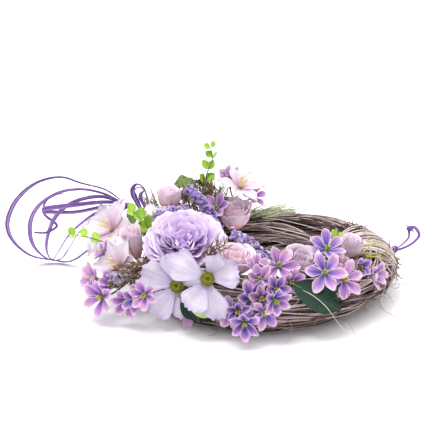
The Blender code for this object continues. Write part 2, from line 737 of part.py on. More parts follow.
STATICE_SPRAYS = {
    "statice_left": {"path": [(-119, 24, 54.5), (-139, 8, 61), (-131, 11, 73), (-111, 16, 81),
                              (-91, 21, 83)],
                     "florets": 10, "seed": 31, "size": 7.0, "up": (-0.2, -0.4, 0.9)},
    "statice_middle": {"path": [(-58, 60, 50), (-62, 44, 63), (-74, 48, 81), (-92, 58, 95)],
                       "florets": 10, "seed": 32, "size": 7.5, "up": (0.3, -0.4, 0.85)},
    "statice_right": {"path": [(-6, -80, 52), (-10, -72, 62), (-26, -66, 74), (-42, -62, 83)],
                      "florets": 9, "seed": 33, "size": 7.0, "up": (0.3, -0.3, 0.9)},
    "statice_pale": {"path": [(-140, -72, 40), (-154, -82, 44), (-168, -86, 44)],
                     "florets": 8, "seed": 34, "size": 8.0, "up": (-0.2, -0.7, 0.7)},
}

TWIG_SPRAYS = {
    "twigs_back": {"path": [(-73, 84, 54), (-75, 80, 72), (-73, 78, 96)],
                   "twigs": 6, "seed": 35, "reach": 16.0},
    "twigs_back_left": {"path": [(-110, 46, 53.5), (-126, 55, 67), (-134, 59, 85)],
                        "twigs": 6, "seed": 36, "reach": 12.0},
    "twigs_left": {"path": [(-123, -58, 47), (-129, -62, 48), (-144, -60, 46)],
                   "twigs": 6, "seed": 37, "reach": 14.0},
    "twigs_rose": {"path": [(-68, -85.5, 55.5), (-66, -95, 75.5), (-50, -101, 87.5)],
                   "twigs": 6, "seed": 38, "reach": 12.0},
}

# The raffia: where it is tied, its loops, each from the knot out and back to it, and
# the loose curled end
RAFFIA_KNOT = (-160.0, 42.0, 84.0)
RAFFIA_WIDTH, RAFFIA_THICK = 4.5, 0.8
RAFFIA_LOOPS = [
    [(-183, 40, 103), (-210, 36, 112), (-233, 36, 119), (-261, 41, 111), (-285, 47, 89),
     (-298, 55, 60), (-295, 65, 35), (-277, 74, 13), (-253, 82, 4), (-232, 76, 4),
     (-211, 64, 20), (-186, 50, 48)],
    [(-186, 36, 100), (-210, 32, 106), (-235, 32, 102), (-259, 38, 85), (-271, 47, 60),
     (-271, 62, 30), (-258, 76, 8), (-243, 80, 5), (-230, 66, 24), (-215, 50, 50),
     (-190, 44, 72)],
    [(-187, 34, 97), (-215, 28, 94), (-237, 34, 77), (-250, 48, 51), (-256, 64, 24),
     (-252, 76, 6), (-244, 70, 17), (-228, 56, 44), (-202, 44, 70), (-182, 40, 80)],
    [(-184, 30, 92), (-221, 24, 90), (-248, 26, 86), (-254, 30, 82), (-245, 34, 79),
     (-217, 34, 79), (-184, 38, 84)],
]
RAFFIA_TAIL = [(-184, 38, 95), (-206, 38, 98), (-231, 40, 99), (-250, 42, 90), (-254, 44, 74),
               (-240, 44, 60), (-252, 42, 52), (-266, 42, 52)]
TAIL_WIDTH = 2.4
STANDING_LOOP = [(-138, 50, 64), (-148, 54, 83), (-154, 57, 97), (-149, 60, 104),
                 (-141, 62, 98), (-137, 58, 84), (-134, 54, 64)]
BAND_ANGLE = 11.0  # where the hanging loop's band lies, degrees round the ring
BAND_OUT = 4.0
BAND_FROM, BAND_TO = -30.0, 205.0
HANGER_KNOT = (142.5, 24.0, 38.0)
HANGER_LOOP = [(149, 22, 43), (157, 20, 53), (158, 20, 64), (164, 20, 65), (169, 20, 56),
               (161, 20, 46), (149, 22, 39)]


def peony_parts(ground, bloom):
    look = facing(*bloom["look"])
    place = np.array(bloom["place"])
    return [*placed(peony_bloom(bloom["size"]), place, look),
            stem_to_ring(ground, place - look * 4, -look, radius=2.0)]


def cosmos_parts(ground, bloom):
    look = facing(*bloom["look"])
    place = np.array(bloom["place"])
    return [*placed(cosmos_bloom(bloom["width"], bloom["petals"]), place, look),
            stem_to_ring(ground, place - look * 4, -look)]


def heart_parts(bloom):
    return placed([cosmos_heart()], bloom["place"], facing(*bloom["look"]))


def rose_parts(ground, bloom):
    look = facing(*bloom["look"])
    place = np.array(bloom["place"])
    rose = rose_bloom(bloom["size"], bloom["height"], bloom["layers"])
    return [*placed(rose, place, look), stem_to_ring(ground, place - look * 3, -look)]


def star_parts(star, root):
    place, look_at, roll, size, openness = star
    look = facing(*look_at)
    return [*placed(star_bloom(size, openness), place, look, roll),
            branch(np.array(place) - look * 5, root, -look)]


def star_spray_parts(ground, spray):
    parts = [stem_to_ring(ground, spray["root"], (0, 0, -1), radius=1.6)]
    for star in spray["stars"]:
        parts += star_parts(star, spray["root"])
    return parts


def lily_parts(ground, bloom):
    look = facing(*bloom["look"])
    place = np.array(bloom["place"])
    return [*placed(lily_bloom(bloom["size"]), place, look, bloom["roll"]),
            stem_to_ring(ground, place - look * 7, -look)]


def eucalyptus_parts(ground, sprig):
    root = np.array(sprig["path"][0]) + (0.15, 0.1, 0.7)
    return [*round_leaves(sprig["path"], sprig["pairs"], *sprig["sizes"]),
            stem_to_ring(ground, root, (0, 0, -1), radius=1.0)]


def leaf_parts(ground, leaf):
    along = unit(leaf["along"])
    face = np.array(leaf["face"])
    face = unit(face - along * (face @ along))
    axes = np.array([along, np.cross(face, along), face])
    place = np.array(leaf["place"])
    parts = [(points @ axes + place, faces) for points, faces in leaf_blade(*leaf["size"])]
    return [*parts, stem_to_ring(ground, place - along * 6, -along, radius=0.9)]


def statice_parts(ground, spray):
    return [*floret_spray(spray["path"], spray["florets"], spray["size"], spray["seed"],
                          up=spray["up"]),
            stem_to_ring(ground, spray["path"][0], (0, 0, -1))]


def twig_parts(ground, spray):
    return [*twig_spray(spray["path"], spray["twigs"], spray["reach"], spray["seed"]),
            stem_to_ring(ground, spray["path"][0], (0, 0, -1))]


def raffia_strand(path, steps, width=RAFFIA_WIDTH, twist=(0, 120)):
    return ribbon(smooth(path, steps), width, RAFFIA_THICK, *twist)


def bow_parts(ground):
    knot = turned([(0, -7), (6, -3), (6, 3), (0, 7)], 6)
    parts = placed([knot], RAFFIA_KNOT, (1, 0, 0.3))
    middle = np.array(RAFFIA_KNOT)
    for k, loop in enumerate(RAFFIA_LOOPS):
        start = middle + (-1, 1 - 0.6 * k, 2.2)
        end = middle + (-1, 0.6 * k - 1, -2.2)
        parts.append(raffia_strand([start, *loop, end], 15, twist=(25 * k, 25 * k + 140)))
    parts.append(raffia_strand([middle + (1.5, 0, 0), *RAFFIA_TAIL], 11, TAIL_WIDTH, (0, 90)))
    parts.append(stem_to_ring(ground, RAFFIA_KNOT, (1, 0, -0.5)))
    return parts


def standing_loop_parts(ground):
    seat = ground.seat(STANDING_LOOP[0])
    return [raffia_strand([seat, *STANDING_LOOP, seat], 14, twist=(0, 60))]


def hanger_parts():
    """The hanging loop: a band over the bundle, tied at its outer side, and a loop."""
    band = [bundle_point(BAND_ANGLE, a, BAND_OUT) for a in np.linspace(BAND_FROM, BAND_TO, 11)]
    tie = placed([turned([(0, -5), (4.5, -2), (4.5, 2), (0, 5)], 6)], HANGER_KNOT, (0.5, 0, 1))
    loop = raffia_strand([HANGER_KNOT, *HANGER_LOOP, HANGER_KNOT], 14, 3.2, (0, 160))
    top = placed([turned([(0, -4), (4, 0), (0, 4)], 5)], HANGER_LOOP[2], (1, 0, 0))
    return [ribbon(band, 4.0, RAFFIA_THICK), *tie, loop, *top]


def main():
    start_empty()
    ring = make_ring()
    ground = Ground(ring)
    fuse("peony", peony_parts(ground, PEONY), LILAC)
    for name, bloom in COSMOS.items():
        fuse(name, cosmos_parts(ground, bloom), WHITE)
        fuse(name + "_heart", heart_parts(bloom), POLLEN)
    for group, make, recipe in (
            (ROSES, rose_parts, PINK), (STAR_SPRAYS, star_spray_parts, PURPLE),
            (LILIES, lily_parts, WHITE), (EUCALYPTUS, eucalyptus_parts, LIME),
            (STATICE_SPRAYS, statice_parts, STATICE), (TWIG_SPRAYS, twig_parts, DRIED)):
        for name, entry in group.items():
            fuse(name, make(ground, entry), recipe)
    for name, leaf in LEAVES.items():
        fuse(name, leaf_parts(ground, leaf), leaf["colour"])
    fuse("raffia_bow", bow_parts(ground), RAFFIA)
    fuse("raffia_loop", standing_loop_parts(ground), RAFFIA)
    fuse("raffia_hanger", hanger_parts(), RAFFIA)


main()
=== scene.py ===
# %% [markdown]
# # A willow wreath with flowers
# The wreath lies on a table: a ring of wound willow twigs, dressed on its left half with cloth
# flowers, moulded leaves and dried sprays, with a raffia bow on the left and a raffia hanging
# loop on the right. The solid model, already packed, is loaded first and stays where it is. Every
# piece made here takes the place of one of its solids, or is stuck on the ring beside them.

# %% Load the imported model
import math

import bpy
import numpy as np
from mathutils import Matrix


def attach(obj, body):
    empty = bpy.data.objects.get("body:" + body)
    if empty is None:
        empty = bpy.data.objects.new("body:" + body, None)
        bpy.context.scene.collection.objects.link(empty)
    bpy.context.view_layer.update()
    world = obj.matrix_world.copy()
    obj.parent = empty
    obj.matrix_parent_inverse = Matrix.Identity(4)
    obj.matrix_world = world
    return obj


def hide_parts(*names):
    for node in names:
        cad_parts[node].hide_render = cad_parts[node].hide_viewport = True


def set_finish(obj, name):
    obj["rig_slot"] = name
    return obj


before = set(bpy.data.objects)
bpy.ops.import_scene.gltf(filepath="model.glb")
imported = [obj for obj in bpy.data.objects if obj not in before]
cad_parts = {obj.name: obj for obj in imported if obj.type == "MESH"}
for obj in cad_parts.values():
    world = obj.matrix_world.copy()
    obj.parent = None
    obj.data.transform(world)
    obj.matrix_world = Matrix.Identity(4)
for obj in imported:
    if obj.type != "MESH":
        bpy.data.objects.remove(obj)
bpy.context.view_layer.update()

# %% [markdown]
# ## The camera first
# The photograph was taken from the front, a little above the wreath, through a long lens. The
# camera is set before anything else, so that each piece can be judged from where it is seen. The
# angle, distance and lens were worked out from how flat the round ring looks in the picture.

# %% Camera
CAMERA_PLACE = (0.00508, -1.28883, 0.51399)
CAMERA_DOWN = 18.135  # degrees below level
LENS_MM = 104.65

lens = bpy.data.cameras.new("camera")
lens.lens = LENS_MM
lens.sensor_width = 36
camera = bpy.data.objects.new("camera", lens)
camera.location = CAMERA_PLACE
camera.rotation_euler = (math.radians(90 - CAMERA_DOWN), 0, 0)
bpy.context.scene.collection.objects.link(camera)
bpy.context.scene.camera = camera
print("camera looks down by", CAMERA_DOWN, "degrees")

# %% [markdown]
# ## Two small tools for colours and nodes
# Colours are easiest to judge as the hex values of a picture, but shaders reckon in linear light,
# so one function turns one into the other. Another adds a node to a tree, with its options and
# what goes into its sockets. All materials and Geometry Nodes trees below are written with it.


# %% Colour and node helpers
def linear(hex_colour):
    """An sRGB hex colour as the linear colour that shaders reckon in."""
    shares = [int(hex_colour[i:i + 2], 16) / 255 for i in (1, 3, 5)]
    return (*[s / 12.92 if s <= 0.04045 else ((s + 0.055) / 1.055) ** 2.4 for s in shares], 1.0)


def add(tree, kind, options=None, sockets=None):
    """Adds a node. Each socket, by name or number, gets a value, one output of another node,
    or, where the other node itself is given, its first output."""
    node = tree.nodes.new(kind)
    for name, value in (options or {}).items():
        setattr(node, name, value)
    for name, value in (sockets or {}).items():
        if isinstance(value, bpy.types.Node):
            value = value.outputs[0]
        if isinstance(value, bpy.types.NodeSocket):
            tree.links.new(value, node.inputs[name])
        else:
            node.inputs[name].default_value = value
    return node


# Node options that come up again and again; TIMES_PLUS is socket 0 times socket 1 plus socket 2
TIMES_PLUS, TIMES, SCALED = ({"operation": o} for o in ("MULTIPLY_ADD", "MULTIPLY", "SCALE"))
VECTOR, NUMBER, COLOUR = ({"data_type": kind} for kind in ("FLOAT_VECTOR", "FLOAT", "RGBA"))
TONE = {"attribute_name": "tone"}


def ramp(tree, factor, stops):
    """Colours laid along a line: each stop is its place from 0 to 1 and its hex colour."""
    node = add(tree, "ShaderNodeValToRGB", sockets={0: factor})
    points = node.color_ramp.elements
    while len(points) < len(stops):
        points.new(0.5)
    for point, (place, colour) in zip(points, stops):
        point.position = place
    for point, (place, colour) in zip(points, stops):
        point.color = linear(colour)
    return node.outputs[0]


print("peony lilac in linear light:", [round(c, 3) for c in linear("#cfb0e6")])

# %% [markdown]
# ## Bark
# Willow bark dries to a grey brown with pale ridges and dark cracks that run along the twig. A
# pattern laid over the whole ring would ignore how each twig runs. So every twig carries an
# attribute, grain, that holds how far along and where round the twig each corner is, in
# millimetres. Noise that is stretched along the grain then gives streaks that follow the twig.


# %% Bark materials
def shader_of(name):
    """A new material, its tree and its shader."""
    material = bpy.data.materials.new(name)
    material.use_nodes = True
    return material, material.node_tree, material.node_tree.nodes["Principled BSDF"]


def coat(tree, shader, colour, height, bump, depth, constants, options=None):
    """Joins a colour and a relief, depth metres deep, to a shader and sets its other sockets."""
    relief = add(tree, "ShaderNodeBump", options, {"Height": height, "Strength": bump,
                                                   "Distance": depth})
    tree.links.new(colour, shader.inputs["Base Color"])
    tree.links.new(relief.outputs[0], shader.inputs["Normal"])
    for name, value in constants.items():
        shader.inputs[name].default_value = value


def bark(name, dark, middle, light, roughness=0.85, streak_mm=0.7, length_mm=14.0, bump=0.35):
    """Dried bark. The tone of each twig moves it between the dark and the light colour."""
    material, tree, shader = shader_of(name)
    grain = add(tree, "ShaderNodeAttribute", {"attribute_name": "grain"})
    tone = add(tree, "ShaderNodeAttribute", TONE)
    along = add(tree, "ShaderNodeMapping", {}, {0: grain.outputs["Vector"], "Scale": (
        1 / streak_mm, 1 / streak_mm, 1 / length_mm)})
    streaks = add(tree, "ShaderNodeTexNoise", {}, {"Vector": along, "Scale": 1.0,
                                                   "Detail": 4.0, "Roughness": 0.6})
    patches = add(tree, "ShaderNodeTexNoise", {}, {"Vector": grain.outputs["Vector"],
                                                   "Scale": 0.09, "Detail": 2.0})
    lightness = add(tree, "ShaderNodeMath", TIMES_PLUS,
                    {0: streaks, 1: 0.5, 2: -0.14})
    lightness = add(tree, "ShaderNodeMath", TIMES_PLUS,
                    {0: tone.outputs["Fac"], 1: 0.6, 2: lightness})
    lightness = add(tree, "ShaderNodeMath", TIMES_PLUS,
                    {0: patches, 1: 0.3, 2: lightness})
    colour = ramp(tree, lightness, ((0.28, dark), (0.52, middle), (0.8, light)))
    coat(tree, shader, colour, streaks, bump, 0.0006,
         {"Roughness": roughness, "Specular IOR Level": 0.15})
    return material


# Weathered willow bark, dried on the twig: dull, streaked along the twig, grey with brown below
WILLOW_BARK = bark("willow bark, weathered", "#22181a", "#6b5658", "#c6b1b1")
# The same bark deep in the bundle, made near black: painted shade between the rods
WILLOW_CORE_PAINTED_SHADE = bark("willow bark, painted shade inside the bundle", "#120d0b", "#2a201d", "#40332f")
# Thin split willow, barked in part: paler and smoother, with fewer cracks
WILLOW_SPLIT = bark("willow, split for binding", "#4c3d3a", "#9c8983", "#ddcfc9", 0.7, 0.5, 20.0)
# Fine shreds of bark and root hair: warm brown, too thin to show any streak
WILLOW_HAIR = bark("willow bark, shredded", "#6d5448", "#9c8274", "#c4ad9f", 0.8, 1.0, 9.0)
# Dried sea-lavender stems: brown to straw, rough
DRIED_STEM = bark("flower stems, dried", "#3b2d22", "#6e5b42", "#a39068", 0.9, 0.4, 6.0)
# Dried hay grass: pale grey green, ribbed along the blade
DRIED_GRASS = bark("grass, dried", "#8d9672", "#b6c09a", "#dde2c8", 0.8, 0.3, 18.0)
# Dyed raffia: palm strip that takes the dye unevenly, so pale and deep lines run along it
DYED_RAFFIA = bark("raffia, dyed violet", "#452f68", "#78599c", "#ad90c8", 0.55, 0.35, 40.0, 0.5)
print(len(bpy.data.materials), "materials so far")

# %% [markdown]
# ## Petal cloth
# The flowers are cloth: polyester satin and voile, cut, heat-pressed into a curve and sprayed
# with dye from the root. So the colour changes along each petal, and fine pressed lines run from
# root to tip. The rim is paler than the middle; on the ruffled lilac bloom and the roses that
# pale rim is a painted highlight, and the lilac bloom's deep violet root is painted shade. Each
# petal has its own UV map, petal, with u across it and v along it, and a tone of its own, so that
# no two petals are dyed alike.


# %% Petal materials
def petal_map(tree):
    """What a petal or leaf knows of each spot: its place on the UV map, its tone, the two
    parts of the place, and how far from the middle line it is, 1 at the rim."""
    place = add(tree, "ShaderNodeUVMap", {"uv_map": "petal"})
    tone = add(tree, "ShaderNodeAttribute", TONE).outputs["Fac"]
    parts = add(tree, "ShaderNodeSeparateXYZ", {}, {0: place}).outputs
    aside = add(tree, "ShaderNodeMath", TIMES_PLUS,
                {0: parts["X"], 1: 2.0, 2: -1.0})
    aside = add(tree, "ShaderNodeMath", {"operation": "ABSOLUTE"}, {0: aside})
    return place, tone, parts, aside


def petal_cloth(name, stops, rim, rim_share, shift, lines, line_share, sides=0.0,
                roughness=0.62, glow=0.15):
    """Dyed, pressed cloth. stops are its colours from root to tip and rim its edge colour;
    shift is how far a petal's tone moves the dye, sides how far its long edges are ahead of
    the middle, and lines how many pressed lines it has."""
    material, tree, shader = shader_of(name)
    place, tone, parts, aside = petal_map(tree)
    own = add(tree, "ShaderNodeCombineXYZ", {}, {2: tone})
    spot = add(tree, "ShaderNodeVectorMath", TIMES_PLUS,
               {0: own, 1: (0, 0, 60), 2: place})
    fine = add(tree, "ShaderNodeMapping", {}, {0: spot, "Scale": (lines, 1.6, 1)})
    pressed = add(tree, "ShaderNodeTexNoise", {}, {"Vector": fine, "Scale": 1.0,
                                                   "Detail": 3.0, "Roughness": 0.6})
    cloud = add(tree, "ShaderNodeTexNoise", {}, {"Vector": spot, "Scale": 3.2,
                                                 "Detail": 2.0})
    # The dye's front: how far along the petal, moved by its tone and broken by the lines
    moved = add(tree, "ShaderNodeMath", TIMES_PLUS,
                {0: tone, 1: shift, 2: parts["Y"]})
    moved = add(tree, "ShaderNodeMath", TIMES_PLUS,
                {0: pressed, 1: 0.22, 2: moved})
    moved = add(tree, "ShaderNodeMath", TIMES_PLUS,
                {0: aside, 1: sides, 2: moved})
    moved = add(tree, "ShaderNodeMath", {"operation": "SUBTRACT"},
                {0: moved, 1: 0.11 + shift / 2 + sides / 2})
    dye = ramp(tree, moved, stops)
    # The rim: how far out, either to a side or to the tip
    outward = add(tree, "ShaderNodeMath", {"operation": "MAXIMUM"},
                  {0: aside, 1: parts["Y"]})
    edge = add(tree, "ShaderNodeMapRange", {}, {"Value": outward, "From Min": 0.78,
                                                "From Max": 1.0, "To Max": rim_share})
    rimmed = add(tree, "ShaderNodeMix", COLOUR,
                 {0: edge, 6: dye, 7: linear(rim)})
    worn = add(tree, "ShaderNodeMapRange", {}, {
        "Value": pressed, "From Min": 0.35, "From Max": 0.65,
        "To Min": 1.0 - line_share, "To Max": 1.0})
    veined = add(tree, "ShaderNodeVectorMath", SCALED,
                 {0: rimmed.outputs[2], "Scale": worn})
    shade = add(tree, "ShaderNodeMapRange", {}, {
        "Value": cloud, "From Min": 0.3, "From Max": 0.7, "To Min": 0.9, "To Max": 1.06})
    mottled = add(tree, "ShaderNodeVectorMath", SCALED,
                  {0: veined, "Scale": shade})
    # The weave, drawn at 0.6 mm: real satin threads of 0.1 mm would not show
    where = add(tree, "ShaderNodeTexCoord")
    weave = add(tree, "ShaderNodeTexNoise", {}, {"Vector": where.outputs["Object"],
                                                 "Scale": 1 / 0.0006, "Detail": 1.0})
    height = add(tree, "ShaderNodeMath", TIMES_PLUS,
                 {0: weave, 1: 0.3, 2: pressed})
    coat(tree, shader, mottled.outputs[0], height, 0.25, 0.0006, {
        "Roughness": roughness, "Specular IOR Level": 0.3, "Sheen Weight": 0.15,
        "Subsurface Weight": glow, "Subsurface Radius": (0.004, 0.003, 0.004),
        "Subsurface Scale": 0.6})
    return material


# Satin sprayed violet blue from the throat and pink at the tip, with a pale cut rim
STAR_SATIN = petal_cloth(
    "polyester satin, violet to pink",
    ((0.0, "#5b4aa8"), (0.28, "#8069c2"), (0.52, "#ad86d4"), (0.76, "#d3a0d2"), (1.0, "#e6bfda")),
    "#f0dcec", rim_share=0.75, shift=0.5, sides=0.3, lines=11.0, line_share=0.42)
# The same satin from a pinker bath
STAR_SATIN_PINK = petal_cloth(
    "polyester satin, mauve to pink",
    ((0.0, "#7d58ac"), (0.28, "#a878c8"), (0.55, "#d19bd6"), (0.8, "#e0aed2"), (1.0, "#eac6de")),
    "#f2e0ec", rim_share=0.75, shift=0.5, sides=0.3, lines=11.0, line_share=0.42)
# Thin ruffled satin, lilac. Its deep violet at the root is painted shade between the layers,
# and its nearly white rim is a painted highlight
PEONY_SATIN = petal_cloth(
    "polyester satin, ruffled lilac",
    ((0.0, "#4f2880"), (0.25, "#8c5cba"), (0.52, "#d8b6f0"), (1.0, "#ecd6f8")),
    "#f6eafe", rim_share=0.6, shift=0.2, lines=30.0, line_share=0.12)
# White voile, heat-pressed into ribs, with a breath of lilac at the edge
WHITE_VOILE = petal_cloth(
    "polyester voile, white",
    ((0.0, "#9580b8"), (0.2, "#b9afca"), (0.7, "#c9c3d1"), (1.0, "#c6bdd2")),
    "#a987cc", rim_share=0.42, shift=0.1, lines=20.0, line_share=0.1, roughness=0.7)
# Blush taffeta wrapped tight: coral where the dye ran down to the base
# Its pale rim colour is a painted highlight that sets the petals apart
BLUSH_TAFFETA = petal_cloth(
    "polyester taffeta, blush",
    ((0.0, "#cf6c66"), (0.2, "#e59c98"), (0.42, "#f3c8d2"), (0.75, "#f6dcea"), (1.0, "#f2d4ea")),
    "#fdeef6", rim_share=0.6, shift=0.18, lines=12.0, line_share=0.12, glow=0.3)
# The same taffeta left almost undyed
# Its pale rim colour is a painted highlight that sets the petals apart
PALE_TAFFETA = petal_cloth(
    "polyester taffeta, ivory pink",
    ((0.0, "#c0889e"), (0.3, "#d8bccf"), (1.0, "#e4d2e2")),
    "#f2e4ee", rim_share=0.5, shift=0.12, lines=12.0, line_share=0.14)
# Organza: thin, stiff and nearly white, so light gets through and the ribs show
PALE_ORGANZA = petal_cloth(
    "polyester organza, white pink",
    ((0.0, "#bf8ab0"), (0.25, "#d3bccd"), (0.6, "#ddd4df"), (1.0, "#e2dce6")),
    "#e2bcd6", rim_share=0.35, shift=0.3, lines=16.0, line_share=0.12, glow=0.2)
# Sea lavender keeps its colour when dried: papery violet cups, paler at the rim
PAPERY_VIOLET = petal_cloth(
    "dried statice, papery violet",
    ((0.0, "#7a59b4"), (0.5, "#a887d8"), (1.0, "#cbb3ec")),
    "#dfd0f2", rim_share=0.4, shift=0.6, lines=6.0, line_share=0.15, roughness=0.8)
PAPERY_WHITE = petal_cloth(
    "dried statice, papery white",
    ((0.0, "#b8a0d8"), (0.5, "#ddd2f0"), (1.0, "#f2eefa")),
    "#f6f2fc", rim_share=0.4, shift=0.6, lines=6.0, line_share=0.12, roughness=0.8)
print(len(bpy.data.materials), "materials so far")

# %% [markdown]
# ## Leaves and hearts
# The leaves are moulded polyethylene or printed cloth: a pale midrib, side veins that leave it at
# a slant, and a slightly waxy surface. The veins are drawn from the same petal UV map: a wave on
# v, pushed back as it moves away from the middle line. The hearts and stamens are flocked or
# moulded in one colour, with a fine grain that is dusty on the flock.


# %% Leaf, flock and moulded materials
def leaf_skin(name, dark, light, vein, veins, speckle=None, roughness=0.5):
    """A leaf with a midrib and side veins; speckle is the colour of its spots, if it has any."""
    material, tree, shader = shader_of(name)
    _, tone, parts, aside = petal_map(tree)
    slant = add(tree, "ShaderNodeMath", TIMES_PLUS,
                {0: aside, 1: -0.32, 2: parts["Y"]})
    wave = add(tree, "ShaderNodeMath", TIMES,
               {0: slant, 1: veins * 2 * math.pi})
    wave = add(tree, "ShaderNodeMath", {"operation": "COSINE"}, {0: wave})
    side = add(tree, "ShaderNodeMapRange", {}, {"Value": wave, "From Min": 0.86,
                                                "From Max": 1.0, "To Max": 0.55})
    middle = add(tree, "ShaderNodeMapRange", {}, {"Value": aside, "From Min": 0.07,
                                                  "From Max": 0.02, "To Max": 0.8})
    ribs = add(tree, "ShaderNodeMath", {"operation": "MAXIMUM"},
               {0: side, 1: middle})
    where = add(tree, "ShaderNodeTexCoord")
    cloud = add(tree, "ShaderNodeTexNoise", {}, {"Vector": where.outputs["Object"],
                                                 "Scale": 1 / 0.008, "Detail": 3.0})
    mixed = add(tree, "ShaderNodeMath", TIMES_PLUS,
                {0: tone, 1: 0.5, 2: cloud})
    skin = ramp(tree, mixed, ((0.35, dark), (1.0, light)))
    colour = add(tree, "ShaderNodeMix", COLOUR,
                 {0: ribs, 6: skin, 7: linear(vein)}).outputs[2]
    if speckle:
        spots = add(tree, "ShaderNodeTexNoise", {}, {"Vector": where.outputs["Object"],
                                                     "Scale": 1 / 0.0016, "Detail": 2.0})
        share = add(tree, "ShaderNodeMapRange", {}, {"Value": spots, "From Min": 0.56,
                                                     "From Max": 0.66, "To Max": 0.7})
        colour = add(tree, "ShaderNodeMix", COLOUR,
                     {0: share, 6: colour, 7: linear(speckle)}).outputs[2]
    coat(tree, shader, colour, ribs, 0.4, 0.0005, {
        "Roughness": roughness, "Specular IOR Level": 0.3, "Subsurface Weight": 0.08,
        "Subsurface Radius": (0.001, 0.002, 0.0005)}, {"invert": True})
    return material


def grained(name, dark, light, grain_mm, roughness, bump):
    """One colour with a fine even grain, for flock and for moulded parts."""
    material, tree, shader = shader_of(name)
    where = add(tree, "ShaderNodeTexCoord")
    tone = add(tree, "ShaderNodeAttribute", TONE)
    noise = add(tree, "ShaderNodeTexNoise", {}, {"Vector": where.outputs["Object"],
                                                 "Scale": 1000 / grain_mm, "Detail": 2.0})
    mixed = add(tree, "ShaderNodeMath", TIMES_PLUS,
                {0: tone.outputs["Fac"], 1: 0.5, 2: noise})
    colour = ramp(tree, mixed, ((0.4, dark), (1.0, light)))
    coat(tree, shader, colour, noise, bump, 0.0004, {"Roughness": roughness})
    return material


# Moulded polyethylene leaf, bright lime: soft gloss, veins raised in the mould
LIME_LEAF = leaf_skin("polyethylene, moulded lime", "#5f9424", "#a8cc44", "#c9e07c", 4.0)
# The same moulding, dyed a cool green
COOL_LEAF = leaf_skin("polyethylene, moulded cool green", "#34683f", "#669c62", "#8abd84", 4.0)
# Printed cloth leaf, deep green: nearly matt, fine pale veins
GREEN_LEAF = leaf_skin("polyester cloth, printed deep green", "#07190f", "#103624", "#1f4d35",
                       9.0)
# Olive cloth leaf, spattered with violet dye
OLIVE_LEAF = leaf_skin("polyester cloth, spattered olive", "#5f7d42", "#93ad66", "#b3c68c", 6.0,
                       "#7d5a86", 0.75)
# Pale green cloth leaf
LIGHT_LEAF = leaf_skin("polyester cloth, printed light green", "#8fae50", "#c3d68c", "#dbe8ae",
                       6.0)
# Mauve cloth leaf
MAUVE_LEAF = leaf_skin("polyester cloth, printed mauve", "#7d4f78", "#ad7fa6", "#c49cbe", 6.0)
# Flocked hearts: short fibres glued on a dome, so no gloss at all and a dusty grain
OLIVE_FLOCK = grained("nylon flock, olive", "#5c5a12", "#b0ad3a", 0.5, 0.95, 0.6)
DARK_FLOCK = grained("nylon flock, deep olive", "#2c2c08", "#5a5716", 0.5, 0.95, 0.6)
# Stamens and throats: dipped in yellow-green latex, a little shiny
DIPPED_STAMEN = grained("latex, dipped yellow green", "#8b8b2c", "#c9c755", 0.8, 0.5, 0.3)
PALE_STAMEN = grained("latex, dipped yellow", "#cfc552", "#ece68a", 0.8, 0.5, 0.3)
# Stems: wire wound with green paper tape, and the brown-green tape of dried flowers
GREEN_STEM = grained("paper tape, green", "#3c5a26", "#6f8c44", 0.7, 0.8, 0.4)
# Dried buds at the twig ends: brown pink and papery
DRIED_BUD = grained("dried buds, brown pink", "#6b5140", "#b08d80", 0.6, 0.9, 0.4)
print(len(bpy.data.materials), "materials so far")

# %% [markdown]
# ## Measures and curves
# Everything below is laid out in millimetres from the middle of the ring at table height, +X to
# the right, +Y to the back and +Z up, and is moved and scaled to metres when a piece is
# finished. A few functions do the geometry: a direction from two angles, a smooth curve through
# points, a turn that makes a bloom look along a direction, and a point on the wound bundle.

# %% Measures
MM = 0.001
RING_CENTRE = np.array([65.0, 16.0, 0.0])  # from the model's own origin
RING_RADIUS = 112.0
BUNDLE_WIDTH, BUNDLE_HEIGHT = 28.0, 26.0  # half the bundle, across and up
BINDING_FROM, BINDING_TO = -14.0, 26.0  # the bound stretch, degrees round the ring
# Where the bundle is drawn in, low on its outer side: degrees round the ring, and by how much
DRAWN_IN_AT, DRAWN_IN_BY = (-100, -60, -30, 10, 50), (0, 8.5, 11, 7, 0)
SEAT_DEPTH = 3.0  # how far a stem goes in between the rods


def dice(name):
    """The random draws of one piece: the same at every run, and its own for every name."""
    return np.random.default_rng(sum(map(ord, name)))


def unit(vectors):
    """Vectors cut to length 1."""
    vectors = np.asarray(vectors, float)
    return vectors / np.maximum(np.linalg.norm(vectors, axis=-1, keepdims=True), 1e-9)


def facing(azimuth, elevation):
    """A direction: azimuth 0 is to the front, 90 to the right; elevation is above level."""
    a, e = math.radians(azimuth), math.radians(elevation)
    return np.array([math.sin(a) * math.cos(e), -math.cos(a) * math.cos(e), math.sin(e)])


def smooth(points, steps):
    """Points along a smooth curve through the given ones."""
    points = np.asarray(points, float)
    padded = np.vstack([2 * points[0] - points[1], points, 2 * points[-1] - points[-2]])
    t = np.linspace(0, len(points) - 1, steps)
    i = np.minimum(t.astype(int), len(points) - 2)
    f = (t - i)[:, None]
    a, b, c, d = (padded[i + k] for k in range(4))
    return 0.5 * (2 * b + (c - a) * f + (2 * a - 5 * b + 4 * c - d) * f ** 2
                  + (3 * b - a - 3 * c + d) * f ** 3)


def tangent_at(round_ring):
    """Which way the ring runs at an angle round it."""
    a = math.radians(round_ring)
    return np.array([-math.sin(a), math.cos(a), 0])


def axes_of(look, roll=0.0):
    """Three axes as rows, the third along look, the second as near up as it can be."""
    z = unit(look)
    x = unit(np.cross((0, 0, 1) if abs(z[2]) < 0.97 else (0, 1, 0), z))
    y = np.cross(z, x)
    turn = math.radians(roll)
    return np.array([x * math.cos(turn) + y * math.sin(turn),
                     y * math.cos(turn) - x * math.sin(turn), z])


